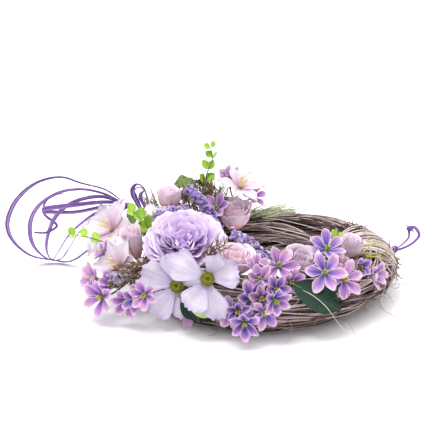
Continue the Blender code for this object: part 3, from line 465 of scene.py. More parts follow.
def bundle_point(round_ring, round_bundle, out=0.0):
    """Points on the bundle: an angle round the ring and one round its section, 0 outwards
    and 90 up, in degrees, and a distance out of the surface."""
    a, b = np.radians(round_ring), np.radians(round_bundle)
    drawn_in = np.interp((np.asarray(round_ring) + 180) % 360 - 180, DRAWN_IN_AT, DRAWN_IN_BY)
    # 0 at the inner foot of the bundle, 1 at its outer shoulder
    low = np.clip(((np.asarray(round_bundle) + 180) % 360 - 70) / 130, 0, 1)
    out = out - drawn_in * np.sin(math.pi * low)
    away = RING_RADIUS + (BUNDLE_WIDTH + out) * np.cos(b)
    return np.stack([away * np.cos(a), away * np.sin(a),
                     BUNDLE_HEIGHT + (BUNDLE_HEIGHT + out) * np.sin(b)], axis=-1)


print("the ring is", 2 * (RING_RADIUS + BUNDLE_WIDTH), "mm across")

# %% [markdown]
# ## Gathering a piece
# A spray of blooms is made of petals, stems and stamens, each from its own function or node tree
# and each with its own finish. A Heap collects their corners and faces, with what the materials
# read (the petal UV map, the tone and the grain), and turns them into one mesh object. Rims of
# petals are marked sharp, so that the thin cloth doesn't look like a pillow.


# %% The heap that becomes a piece
def store(mesh, name, kind, rows):
    """Gives each corner of a mesh a number or a vector under a name."""
    rows = np.asarray(rows, np.float32)
    field = "value" if kind == "FLOAT" else "vector"
    mesh.attributes.new(name, kind, "POINT").data.foreach_set(field, rows.ravel())


class Heap:
    """Corners and faces with their finishes, gathered until the piece is complete."""

    def __init__(self):
        self.points, self.tone, self.grain, self.rim = [], [], [], []
        self.loops, self.sizes, self.petal, self.finish = [], [], [], []
        self.materials = []

    def add(self, points, faces, finish, petal=None, tone=0.5, grain=None, rim=None):
        """Faces are rows of corner numbers, all rows of one length."""
        n, faces = len(points), np.asarray(faces)
        self.put(np.asarray(points, float), faces.ravel(), np.full(len(faces), faces.shape[1]),
                 (np.zeros((n, 2)) if petal is None else petal)[faces.ravel()],
                 np.broadcast_to(tone, n), np.zeros((n, 3)) if grain is None else grain,
                 np.zeros(n, bool) if rim is None else rim, finish)

    def put(self, points, loops, sizes, petal, tone, grain, rim, finish):
        if finish not in self.materials:
            self.materials.append(finish)
        first = sum(map(len, self.points))
        for kept, rows in ((self.points, points), (self.tone, tone), (self.grain, grain),
                           (self.rim, rim), (self.loops, loops + first), (self.sizes, sizes),
                           (self.petal, petal)):
            kept.append(rows)
        self.finish.append(np.full(len(sizes), self.materials.index(finish)))

    def take(self, mesh, finish):
        """Takes over a plain mesh that a node tree made, and removes it."""
        count, corners = len(mesh.vertices), len(mesh.loops)
        points, grain = np.empty(count * 3), np.zeros(count * 3)
        tone, petal = np.full(count, 0.5), np.zeros(corners * 2)
        loops, sizes = np.empty(corners, int), np.empty(len(mesh.polygons), int)
        mesh.vertices.foreach_get("co", points)
        mesh.loops.foreach_get("vertex_index", loops)
        mesh.polygons.foreach_get("loop_total", sizes)
        for name, field, rows in (("grain", "vector", grain), ("tone", "value", tone),
                                  ("petal", "vector", petal)):
            if name in mesh.attributes:
                mesh.attributes[name].data.foreach_get(field, rows)
        self.put(points.reshape(-1, 3), loops, sizes, petal.reshape(-1, 2), tone,
                 grain.reshape(-1, 3), np.zeros(count, bool), finish)
        bpy.data.meshes.remove(mesh)

    def piece(self, name, slot, *nodes):
        """The finished piece: its mesh in metres, riding on the wreath."""
        mesh = bpy.data.meshes.new(name)
        points = (np.concatenate(self.points) + RING_CENTRE) * MM
        points[:, 2] = np.maximum(points[:, 2], 0)  # nothing goes into the table
        loops, sizes = np.concatenate(self.loops), np.concatenate(self.sizes)
        mesh.vertices.add(len(points))
        mesh.vertices.foreach_set("co", points.ravel())
        mesh.loops.add(len(loops))
        mesh.loops.foreach_set("vertex_index", loops)
        mesh.polygons.add(len(sizes))
        mesh.polygons.foreach_set("loop_start", np.cumsum(sizes) - sizes)
        mesh.polygons.foreach_set("material_index", np.concatenate(self.finish))
        mesh.update(calc_edges=True)
        mesh.polygons.foreach_set("use_smooth", np.ones(len(sizes), bool))
        mesh.uv_layers.new(name="petal").data.foreach_set("uv", np.concatenate(self.petal).ravel())
        store(mesh, "tone", "FLOAT", np.concatenate(self.tone))
        store(mesh, "grain", "FLOAT_VECTOR", np.concatenate(self.grain))
        ends = np.empty(len(mesh.edges) * 2, int)
        mesh.edges.foreach_get("vertices", ends)
        sharp = np.concatenate(self.rim)[ends.reshape(-1, 2)].all(axis=1)
        mesh.attributes.new("sharp_edge", "BOOLEAN", "EDGE").data.foreach_set("value", sharp)
        for material in self.materials:
            mesh.materials.append(material)
        obj = bpy.data.objects.new(name, mesh)
        bpy.context.scene.collection.objects.link(obj)
        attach(obj, "root")
        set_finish(obj, slot)
        if nodes:
            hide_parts(*nodes)
        print(f"{name}: {int((sizes - 2).sum())} triangles")


# %% [markdown]
# ## A tree for everything long and thin
# Twigs, binding, hairs, stems, stamens and raffia are all the same thing to Geometry Nodes: a
# profile swept along a path. The path is a row of mesh corners, each with its thickness, the
# direction of its flat side and its tone. The tree turns it into a curve, sweeps a circle along
# it (squeezed flat for raffia and grass), stores the grain, and pushes the surface in and out a
# little, because no twig is a machined rod. Lengths here are millimetres.


# %% The strand tree
def new_tree(name, sockets):
    tree = bpy.data.node_groups.new(name, "GeometryNodeTree")
    for label, kind in (("Geometry", "Geometry"), *sockets):
        tree.interface.new_socket(label, in_out="INPUT", socket_type="NodeSocket" + kind)
    tree.interface.new_socket("Geometry", in_out="OUTPUT", socket_type="NodeSocketGeometry")
    return tree, add(tree, "NodeGroupInput").outputs


def strand_tree():
    tree, given = new_tree("strands along paths", (
        ("Sides", "Int"), ("Flatness", "Float"), ("Knobble", "Float"),
        ("Knobble length", "Float"), ("Material", "Material")))
    thick = add(tree, "GeometryNodeInputNamedAttribute", NUMBER, {0: "thick"})
    tone = add(tree, "GeometryNodeInputNamedAttribute", NUMBER, {0: "tone"})
    flat = add(tree, "GeometryNodeInputNamedAttribute", VECTOR, {0: "flat"})
    curve = add(tree, "GeometryNodeMeshToCurve", {}, {0: given["Geometry"]})
    faced = add(tree, "GeometryNodeSetCurveNormal", {"mode": "FREE"}, {
        "Curve": curve, "Normal": flat})
    far = add(tree, "GeometryNodeSplineParameter")
    marked = add(tree, "GeometryNodeStoreNamedAttribute", NUMBER, {
        0: faced, "Name": "far", "Value": far.outputs["Length"]})
    circle = add(tree, "GeometryNodeCurvePrimitiveCircle", {}, {
        "Resolution": given["Sides"], "Radius": 1.0})
    spot = add(tree, "GeometryNodeInputPosition")
    ringed = add(tree, "GeometryNodeStoreNamedAttribute", VECTOR, {
        0: circle, "Name": "ringed", "Value": spot})
    squeeze = add(tree, "ShaderNodeCombineXYZ", {}, {0: 1.0, 1: given["Flatness"], 2: 1.0})
    profile = add(tree, "GeometryNodeTransform", {}, {
        0: ringed, "Scale": squeeze})
    swept = add(tree, "GeometryNodeCurveToMesh", {}, {
        0: marked, 1: profile, "Scale": thick,
        "Fill Caps": True})
    # The grain: where round the strand, times its thickness, and how far along it
    around = add(tree, "GeometryNodeInputNamedAttribute", VECTOR,
                 {0: "ringed"})
    length = add(tree, "GeometryNodeInputNamedAttribute", NUMBER, {0: "far"})
    lane = add(tree, "ShaderNodeMath", TIMES, {0: tone, 1: 900.0})
    along = add(tree, "ShaderNodeCombineXYZ", {}, {0: lane, 2: length})
    side = add(tree, "ShaderNodeVectorMath", SCALED, {
        0: around, "Scale": thick})
    grain = add(tree, "ShaderNodeVectorMath", {}, {0: side, 1: along})
    grained_mesh = add(tree, "GeometryNodeStoreNamedAttribute", VECTOR, {
        0: swept, "Name": "grain", "Value": grain})
    # Knobbles: noise along the grain moves the surface along its normal
    per_mm = add(tree, "ShaderNodeMath", {"operation": "DIVIDE"}, {
        0: 1.0, 1: given["Knobble length"]})
    noise = add(tree, "ShaderNodeTexNoise", {}, {
        "Vector": grain, "Scale": per_mm, "Detail": 1.0})
    swing = add(tree, "ShaderNodeMath", {"operation": "SUBTRACT"}, {0: noise, 1: 0.5})
    swing = add(tree, "ShaderNodeMath", TIMES, {
        0: swing, 1: given["Knobble"]})
    swing = add(tree, "ShaderNodeMath", TIMES, {
        0: swing, 1: thick})
    push = add(tree, "ShaderNodeVectorMath", SCALED, {
        0: add(tree, "GeometryNodeInputNormal"), "Scale": swing})
    pushed = add(tree, "GeometryNodeSetPosition", {}, {
        0: grained_mesh, "Offset": push})
    plain = add(tree, "GeometryNodeRealizeInstances", {}, {0: pushed})
    painted = add(tree, "GeometryNodeSetMaterial", {}, {
        0: plain, "Material": given["Material"]})
    add(tree, "NodeGroupOutput", {}, {0: painted})
    return tree


STRAND_TREE = strand_tree()


def grown(tree, mesh, inputs):
    """What a tree makes from a mesh, as a plain mesh. An input is set by its identifier."""
    carrier = bpy.data.objects.new("carrier", mesh)
    modifier = carrier.modifiers.new("tree", "NODES")
    modifier.node_group = tree
    for socket in tree.interface.items_tree:
        if socket.in_out == "INPUT" and socket.name in inputs:
            modifier[socket.identifier] = inputs[socket.name]
    bpy.context.scene.collection.objects.link(carrier)
    graph = bpy.context.evaluated_depsgraph_get()
    made = bpy.data.meshes.new_from_object(carrier.evaluated_get(graph),
                                           preserve_all_data_layers=True, depsgraph=graph)
    carrier.modifiers.remove(modifier)
    bpy.data.objects.remove(carrier)
    bpy.data.meshes.remove(mesh)
    return made


print("strand tree:", len(STRAND_TREE.nodes), "nodes")


# %% Strands, gathered and swept
class Strands:
    """Paths that are swept together, with one finish."""

    def __init__(self):
        self.points, self.edges, self.thick, self.flat, self.tone = [], [], [], [], []
        self.count = 0

    def add(self, path, thick, tone=0.5, flat=None):
        """thick is half the strand's width: one number, or one for each point."""
        path = np.asarray(path, float)
        n = len(path)
        if flat is None:
            flat, side = [], np.array([0.3, 0.2, 1.0])
            for along in unit(np.gradient(path, axis=0)):
                side = unit(side - along * (side @ along))
                flat.append(side)
        self.points.append(path)
        self.edges += [(self.count + k, self.count + k + 1) for k in range(n - 1)]
        self.thick.append(np.broadcast_to(thick, n))
        self.flat.append(np.asarray(flat))
        self.tone.append(np.full(n, tone))
        self.count += n

    def into(self, heap, finish, sides=5, flatness=1.0, knobble=0.0, knobble_length=6.0):
        mesh = bpy.data.meshes.new("paths")
        mesh.from_pydata(np.concatenate(self.points).tolist(), self.edges, [])
        for name, kind, rows in (("thick", "FLOAT", self.thick), ("tone", "FLOAT", self.tone),
                                 ("flat", "FLOAT_VECTOR", self.flat)):
            store(mesh, name, kind, np.concatenate(rows))
        heap.take(grown(STRAND_TREE, mesh, {
            "Sides": sides, "Flatness": flatness, "Knobble": knobble,
            "Knobble length": knobble_length, "Material": finish}), finish)


# %% [markdown]
# ## A tree for what is scattered
# Florets, buds and the grains of a flower's heart are one small shape repeated. The tree puts the
# shape on every point, turned to the point's own direction, with a random spin and size from a
# fixed seed. The shape has few faces, because it is used hundreds of times.


# %% The scatter tree
def scatter_tree():
    tree, given = new_tree("small shapes on points", (
        ("Shape", "Object"), ("Size", "Float"), ("Unevenness", "Float"), ("Seed", "Int"),
        ("Material", "Material")))
    lean = add(tree, "GeometryNodeInputNamedAttribute", VECTOR, {0: "lean"})
    shape = add(tree, "GeometryNodeObjectInfo", {}, {0: given["Shape"]})
    spin = add(tree, "FunctionNodeRandomValue", NUMBER, {
        2: 0.0, 3: 2 * math.pi, "Seed": given["Seed"]})
    turn = add(tree, "FunctionNodeAxisAngleToRotation", {}, {"Axis": (0, 0, 1),
                                                             "Angle": spin.outputs[1]})
    aimed = add(tree, "FunctionNodeAlignRotationToVector", {"axis": "Z"}, {
        "Vector": lean})
    spun = add(tree, "FunctionNodeRotateRotation", {"rotation_space": "LOCAL"}, {
        0: aimed, 1: turn})
    least = add(tree, "ShaderNodeMath", {"operation": "SUBTRACT"}, {
        0: 1.0, 1: given["Unevenness"]})
    share = add(tree, "FunctionNodeRandomValue", NUMBER, {
        2: least, 3: 1.0, "Seed": given["Seed"]})
    size = add(tree, "ShaderNodeMath", TIMES, {
        0: share.outputs[1], 1: given["Size"]})
    put = add(tree, "GeometryNodeInstanceOnPoints", {}, {
        "Points": given["Geometry"], "Instance": shape.outputs["Geometry"],
        "Rotation": spun, "Scale": size})
    plain = add(tree, "GeometryNodeRealizeInstances", {}, {0: put})
    painted = add(tree, "GeometryNodeSetMaterial", {}, {
        0: plain, "Material": given["Material"]})
    add(tree, "NodeGroupOutput", {}, {0: painted})
    return tree


SCATTER_TREE = scatter_tree()


def scatter(heap, points, leans, shape, size, finish, seed):
    """Puts a shape, (points, faces, petal), on each point, its +Z along that point's lean."""
    corners, faces, petal = shape
    small = bpy.data.meshes.new("small")
    small.from_pydata(corners, [], faces)
    order = [k for face in faces for k in face]
    small.uv_layers.new(name="petal").data.foreach_set(
        "uv", np.asarray(petal, float)[order].ravel())
    small.shade_smooth()
    carried = bpy.data.objects.new("small", small)
    bpy.context.scene.collection.objects.link(carried)
    mesh = bpy.data.meshes.new("points")
    mesh.from_pydata(np.asarray(points, float).tolist(), [], [])
    store(mesh, "lean", "FLOAT_VECTOR", leans)
    store(mesh, "tone", "FLOAT", np.random.default_rng(seed).uniform(0, 1, len(points)))
    heap.take(grown(SCATTER_TREE, mesh, {
        "Shape": carried, "Size": size, "Unevenness": 0.35, "Seed": seed,
        "Material": finish}), finish)
    bpy.data.objects.remove(carried)
    bpy.data.meshes.remove(small)


print("scatter tree:", len(SCATTER_TREE.nodes), "nodes")

# %% [markdown]
# ## The wound ring
# A willow wreath is made by bending bundles of long thin rods round and round, each one tucked
# under the ones before. Seen close, it is some four hundred stretches of rod, stout and fine,
# that run almost parallel, cross at small angles and dive in and out of the bundle, with dark
# gaps between. Each is a path on the bundle: an angle round the ring, an angle round the bundle
# that drifts, and a depth that comes and goes. The deeper a stout rod lies, the darker its bark
# is painted, as painted shade, and short dark rods are painted shade under the binding. A ridged
# core, its bark painted near black as the shade inside the bundle, keeps one from seeing through.
# The strand tree then makes wood of the paths.


# %% Rods of the ring
STOUT_RODS, SHORT_RODS, FINE_RODS = 190, 46, 210
DEEPEST, SHALLOWEST = -5.4, 1.5  # how far stout rods lie out of the bundle's surface
GOLDEN_SHARE = 0.618  # spreads rods and grains evenly, whatever their number


def ring_rod(draw, start, span, around, drift, depth, thick, steps, tuck=9.0):
    """One rod: a stretch of the ring, where it starts round the bundle and how it drifts."""
    t = np.linspace(0, 1, steps)
    a = start + span * t
    beats = draw.uniform(1.0, 3.0, 2) * span / 160
    phase = draw.uniform(0, 2 * math.pi, 3)
    b = around + drift * t + 6.0 * np.sin(beats[0] * 2 * math.pi * t + phase[0])
    out = depth + 1.7 * np.sin(beats[1] * 2 * math.pi * t + phase[1]) - tuck * (2 * t - 1) ** 12
    radii = thick * (1.0 - 0.35 * t) * (1 + 0.06 * np.sin(17 * t + phase[2]))
    path = bundle_point(a, b, out - thick)
    path[:, 2] = np.maximum(path[:, 2], radii + 0.1)
    a = np.radians(a)
    middle = np.stack([RING_RADIUS * np.cos(a), RING_RADIUS * np.sin(a),
                       np.full(steps, BUNDLE_HEIGHT)], axis=-1)
    return path, radii, unit(path - middle)


def make_rods():
    draw = np.random.default_rng(7)
    stout, fine = Strands(), Strands()
    for k in range(STOUT_RODS):
        span = draw.uniform(110, 300)
        drift = draw.normal(36, 20) * span / 200 * (1 if draw.uniform() < 0.75 else -0.9)
        thick = draw.uniform(0.9, 1.9) if k % 9 else draw.uniform(2.2, 3.0)
        depth = draw.uniform(DEEPEST, SHALLOWEST)
        path, radii, flat = ring_rod(draw, draw.uniform(0, 360), span, 360 * k * GOLDEN_SHARE,
                                     drift, depth, thick, int(span / 3.3))
        # Painted shade: the deeper a rod lies, the lower its tone, so the darker its bark
        stout.add(path, radii, 0.06 * (depth - DEEPEST) + draw.uniform(-0.1, 0.7), flat)
    # Short rods with a low tone fill the bound stretch as painted shade under the turns,
    # so that the turns over it stand apart
    for k in range(SHORT_RODS):
        path, radii, flat = ring_rod(draw, BINDING_FROM - 6, BINDING_TO - BINDING_FROM + 12,
                                     360 * k / SHORT_RODS, draw.uniform(-12, 12),
                                     draw.uniform(-0.4, 1.0), draw.uniform(1.6, 2.4), 22)
        stout.add(path, radii, draw.uniform(-0.15, 0.12), flat)
    for k in range(FINE_RODS):
        span = draw.uniform(40, 190)
        drift = draw.choice((-1, 1)) * draw.uniform(20, 130) * span / 120
        path, radii, flat = ring_rod(draw, draw.uniform(0, 360), span, draw.uniform(0, 360), drift,
                                     draw.uniform(1.0, 3.0), draw.uniform(0.5, 0.95),
                                     int(span / 2.6), 7.0)
        fine.add(path, radii, draw.uniform(-0.3, 1.0), flat)
    return stout, fine


def make_core():
    """The dark inside of the bundle, painted shade: a closed ridged ring, just below the rods."""
    rounds, sides = 150, 54
    a = np.linspace(0, 360, rounds, endpoint=False)[:, None]
    b = np.linspace(0, 360, sides, endpoint=False)[None]
    out = -6.5 + 1.1 * np.cos(np.radians(18 * b + 3 * a)) + 0.6 * np.sin(np.radians(7 * a))
    points = bundle_point(a + 0 * b, b + 0 * a, out)
    points[..., 2] = np.maximum(points[..., 2], 1.2)
    index = np.arange(rounds * sides).reshape(rounds, sides)
    quads = np.stack([index, np.roll(index, -1, 1), np.roll(np.roll(index, -1, 0), -1, 1),
                      np.roll(index, -1, 0)], axis=-1).reshape(-1, 4)
    grain = np.stack([b * 0.5 + 0 * a, 0 * a + 0 * b, a * 2.0 + 0 * b], axis=-1)
    return points.reshape(-1, 3), quads[:, ::-1], grain.reshape(-1, 3)


ring = Heap()
stout_rods, fine_rods = make_rods()
stout_rods.into(ring, WILLOW_BARK, sides=6, knobble=0.55, knobble_length=7.0)
core_points, core_faces, core_grain = make_core()
ring.add(core_points, core_faces, WILLOW_CORE_PAINTED_SHADE, tone=0.4, grain=core_grain)
ring.piece("willow_rods", "willow", "willow_ring")
thin_ring = Heap()
fine_rods.into(thin_ring, WILLOW_SPLIT, sides=4, knobble=0.4, knobble_length=5.0)
thin_ring.piece("willow_fine_rods", "willow")

# %% [markdown]
# ## The binding
# At the right the bundle is held by thin split rods, wound round it some thirty times. Where the
# turns cross the inner side of the ring they crowd together, and outside they spread like a fan.
# They are four spirals: a stout one, a finer one beside it, a loose one that crosses both at a
# slant, and three turns where the bound stretch begins. Broken bits, cut ends and hairs of bark
# stand off the bundle, as they do on every wreath that has been handled.


# %% Binding, tufts of cut ends and hairs
BROKEN_BITS, HAIRS, CUT_ENDS = 80, 190, 44


def away_from_ring(point):
    """Which way is outwards at a point on the bundle, seen from inside it."""
    return unit(point - np.array([*(point[:2] * 0.8), BUNDLE_HEIGHT]))


def spiral(draw, start, end, turns, out, jitter, round_from=0.0):
    """A path wound round the bundle from one angle of the ring to another."""
    t = np.linspace(0, 1, int(turns * 30))
    wobble = np.interp(t * turns, np.arange(turns + 2), draw.normal(0, jitter, turns + 2))
    halves = 2 * turns + 3
    lift = np.interp(t * turns * 2, np.arange(halves), draw.uniform(-0.7, 0.9, halves))
    a = start + (end - start) * t + wobble
    b = round_from + 360 * turns * t
    path = bundle_point(a, b, out + lift)
    path[:, 2] = np.maximum(path[:, 2], 1.0)
    return path


def curl(draw, start, heading, length, bend, steps=14):
    """A loose hair: it sets off along its heading and curls at random."""
    here, along = np.array(start, float), unit(heading)
    turn = unit(draw.normal(0, 1, 3)) * bend / steps
    path = [here.copy()]
    for _ in range(steps):
        turn = turn + draw.normal(0, 0.25 * bend / steps, 3)
        along = unit(along + np.cross(turn, along) + (0, 0, -0.02))
        here = here + along * length / steps
        here[2] = max(here[2], 0.6)
        path.append(here.copy())
    return np.array(path)


print("the bound stretch is", round((RING_RADIUS + BUNDLE_WIDTH) * math.radians(
    BINDING_TO - BINDING_FROM)), "mm long on its outer side")

# %% Winding the binding
draw = np.random.default_rng(21)
binding, hairs, ends = Strands(), Strands(), Strands()
binding.add(spiral(draw, BINDING_FROM, BINDING_TO, 15, 3.0, 0.9), 0.9, 0.85)
binding.add(spiral(draw, BINDING_FROM + 2, BINDING_TO - 1, 11, 3.2, 1.3, 140), 0.5, 0.55)
binding.add(spiral(draw, BINDING_TO + 3, BINDING_FROM - 2, 5, 3.8, 1.6), 0.65, 0.95)
binding.add(spiral(draw, -24.0, -15.0, 3, 2.9, 0.8), 0.9, 0.5)
# Broken bits lie on the outer side, where the bound stretch ends
for k in range(BROKEN_BITS):
    root = bundle_point(draw.uniform(-34, 6), draw.uniform(-55, 60), draw.uniform(1.5, 3.6))
    along = away_from_ring(root)
    heading = np.cross(along, draw.normal(0, 1, 3)) + along * 0.12
    ends.add(curl(draw, root, heading, draw.uniform(6, 16), draw.uniform(0.3, 1.5), 5),
             np.linspace(draw.uniform(0.5, 1.2), 0.4, 6), draw.uniform(0.2, 1.0))

print("binding:", binding.count, "points on four spirals")

# %% Hairs and cut ends
# Hairs stand off the ring all round, most of all at the bound end and low at the front
for k in range(HAIRS):
    at = draw.uniform(-120, 130) if k % 3 else draw.uniform(-40, 45)
    round_it = draw.choice((draw.uniform(-60, 30), draw.uniform(40, 130)))
    root = bundle_point(at, round_it, -0.5)
    heading = away_from_ring(root) * 0.5 + tangent_at(at) * draw.choice((-1, 1)) \
        + draw.normal(0, 0.25, 3)
    hairs.add(curl(draw, root, heading, draw.uniform(10, 36), draw.uniform(0.6, 3.5)),
              np.linspace(draw.uniform(0.3, 0.46), 0.14, 15), draw.uniform(0.2, 1.0))

# Three long ones that the photograph shows
for path in ([(118, -56, 27), (135, -58, 28), (150, -56, 27), (156, -52, 31)],
             [(112, -64, 20), (118, -80, 8), (133, -90, 3), (150, -91, 2)],
             [(60, -116, 12), (74, -128, 14), (80, -136, 8), (84, -140, 2)]):
    hairs.add(smooth(path, 16), np.linspace(0.4, 0.2, 16), 0.5)

# Cut rod ends that poke up where two bundles overlap
for k in range(CUT_ENDS):
    at = draw.uniform(23, 37)
    root = bundle_point(at, draw.uniform(50, 125), -2.0)
    heading = -tangent_at(at) * draw.uniform(0.2, 1.0) + (0, 0, draw.uniform(0.5, 1.1)) \
        + draw.normal(0, 0.2, 3)
    ends.add(curl(draw, root, heading, draw.uniform(6, 12), 0.9, 5),
             np.linspace(draw.uniform(0.5, 1.1), 0.4, 6), draw.uniform(0.0, 0.5))

bound = Heap()
binding.into(bound, WILLOW_SPLIT, sides=5, knobble=0.5, knobble_length=4.0)
ends.into(bound, WILLOW_BARK, sides=5, knobble=0.5, knobble_length=4.0)
hairs.into(bound, WILLOW_HAIR, sides=3)
bound.piece("willow_binding", "willow")

# %% [markdown]
# ## A petal as a surface
# Every petal and leaf here is the same kind of surface. Its middle line leaves the heart of the
# bloom, rises by pitch degrees and curls by bend degrees. Rows of points lie across that line, as
# wide as the outline says, cupped, tilted and waved. The tip is rounded by pulling back the outer
# points of the last rows, and may be toothed or pleated. The surface is then given a thin closed
# body whose two faces meet at the rim, as the edge of cut cloth does.


# %% Petals
def petal_surface(length, width, angle, pitch, bend, outline, start=0.0, cup=0.2, tilt=0.0,
                  wave=0.0, waves=2.0, phase=0.0, tip=0.2, teeth=0.0, tooth=0.0, pleat=0.0,
                  pleats=8.0, fold=0.0, curl_back=0.0, rows=10, cols=9):
    """Rows of points of a petal in its bloom's own frame, and each one's place on it."""
    turn = math.radians(angle)
    outwards = np.array([math.cos(turn), math.sin(turn), 0])
    sideways = np.array([-math.sin(turn), math.cos(turn), 0])
    v = np.linspace(0, 1, rows)[:, None] + np.zeros((1, cols))
    u = np.sin(np.linspace(-1, 1, cols) * math.pi / 2 * 0.96)[None] / math.sin(
        math.pi / 2 * 0.96) + np.zeros((rows, 1))
    # How far along each point ends up: pulled back at the sides of the tip, and toothed
    rounded = 1 - tip * v ** 3 * (1 - np.sqrt(1 - 0.97 * u ** 2))
    s = v * rounded + tooth * v ** 10 * np.cos(teeth * math.pi * u)
    fine = np.linspace(0, 1.2, 49)
    slope = np.radians(pitch + bend * fine - curl_back * np.maximum(fine - 0.55, 0) ** 2 * 5)
    step = fine[1] * length
    reach = start + np.concatenate([[0], np.cumsum(np.cos((slope[1:] + slope[:-1]) / 2))]) * step
    rise = np.concatenate([[0], np.cumsum(np.sin((slope[1:] + slope[:-1]) / 2))]) * step
    shape = smooth(outline, 33)
    half = width / 2 * np.interp(v, shape[:, 0], shape[:, 1])
    lean = np.interp(s, fine, slope)
    lift = (half * (cup * u ** 2 + tilt * u) + fold * half * (1 - np.abs(u))
            + wave * s ** 1.5 * np.sin(waves * math.pi * u + phase)
            + pleat * np.sqrt(s) * np.cos(pleats * math.pi * u))
    across = np.interp(s, fine, reach) - np.sin(lean) * lift
    up = np.interp(s, fine, rise) + np.cos(lean) * lift
    grid = (across[..., None] * outwards + (u * half)[..., None] * sideways
            + up[..., None] * np.array([0, 0, 1.0]))
    return grid, np.stack([(u + 1) / 2, v], axis=-1)


line = petal_surface(20, 8, 0, 30, 40, ((0, 0.2), (1, 1)))[0][:, 4]
print("a petal 20 mm long, curled by 40 degrees, ends at", line[-1].round(1))


# %% Thin closed blades
def blade(grid, places, thick):
    """A closed blade over a grid of points: thick inside, sharp all round its rim."""
    rows, cols = grid.shape[:2]
    normal = unit(np.cross(np.gradient(grid, axis=1), np.gradient(grid, axis=0)))
    inner = np.zeros((rows, cols), bool)
    inner[1:-1, 1:-1] = True
    top = np.arange(rows * cols).reshape(rows, cols)
    low = top.copy()
    low[inner] = rows * cols + np.arange(inner.sum())
    half = normal * thick / 2 * inner[..., None]
    points = np.concatenate([(grid + half).reshape(-1, 3), (grid - half)[inner]])
    faces = [np.stack([s[:-1, :-1], s[:-1, 1:], s[1:, 1:], s[1:, :-1]][::turn], axis=-1)
             for s, turn in ((top, 1), (low, -1))]
    rim = np.concatenate([~inner.ravel(), np.zeros(inner.sum(), bool)])
    places = np.concatenate([places.reshape(-1, 2), places[inner]])
    return points, np.concatenate(faces).reshape(-1, 4), places, rim


def add_petal(heap, surface, place, axes, finish, tone, thick=0.5):
    points, faces, petal, rim = blade(*surface, thick)
    heap.add(points @ axes + np.asarray(place, float), faces, finish, petal, tone, rim=rim)


blade_faces = blade(*petal_surface(10, 5, 0, 0, 0, ((0, 0.2), (1, 1))), 0.5)[1]
print("a blade has", len(blade_faces), "faces")


# %% Turned solids, and stems down to the ring
def add_turned(heap, profile, sides, place, axes, finish, tone=0.5):
    """A solid turned about a bloom's own axis from (radius, height) pairs, low to high."""
    corners, rings = [], []
    turns = [2 * math.pi * k / sides for k in range(sides)]
    for r, z in profile:
        count = sides if r else 1
        rings.append(np.arange(len(corners), len(corners) + count))
        corners += [(r * math.cos(turn), r * math.sin(turn), z) for turn in turns[:count]]
    faces = []
    for low, high in zip(rings, rings[1:]):
        for k in range(sides):
            a, b = low[k % len(low)], low[(k + 1) % len(low)]
            c, d = high[(k + 1) % len(high)], high[k % len(high)]
            faces += [f for f in ((a, b, c), (a, c, d)) if len(set(f)) == 3]
    for ring_, turn in ((rings[0], -1), (rings[-1], 1)):
        faces += [(ring_[0], ring_[k], ring_[k + 1])[::turn] for k in range(1, len(ring_) - 1)]
    heap.add(np.array(corners) @ axes + np.asarray(place, float), np.array(faces), finish,
             tone=tone)


def seat(point):
    """The place on the bundle that is nearest to a point, a little below its surface."""
    point = np.asarray(point, float)
    a = math.atan2(point[1], point[0])
    away, up = math.hypot(point[0], point[1]) - RING_RADIUS, point[2] - BUNDLE_HEIGHT
    return bundle_point(math.degrees(a), math.degrees(math.atan2(up, away)), -SEAT_DEPTH)


def stem_path(top, heading):
    """A stem from the back of a bloom, along its heading at first, into the ring."""
    foot = seat(top)
    bend = top + unit(heading) * np.linalg.norm(top - foot) * 0.4
    return smooth([top, (top + bend * 2 + foot) / 4, foot], 7)


def stand(heap, place, look, behind, thick):
    """The green stem of one bloom, from behind it into the ring."""
    stem = Strands()
    stem.add(stem_path(place - look * behind, -look), thick)
    stem.into(heap, GREEN_STEM, sides=6)


print("the ring takes the stem of a bloom at (-93, -38, 61) at", seat((-93, -38, 61)).round(1))

# %% [markdown]
# ## Star blooms
# The small violet blooms have six spoon-shaped satin petals each and six stamens dipped in
# yellow-green latex, and they grow in sprays from one stem. Some petals stand a little off the
# rule, because hands bend them, so each gets its own small random turn, length and curl.

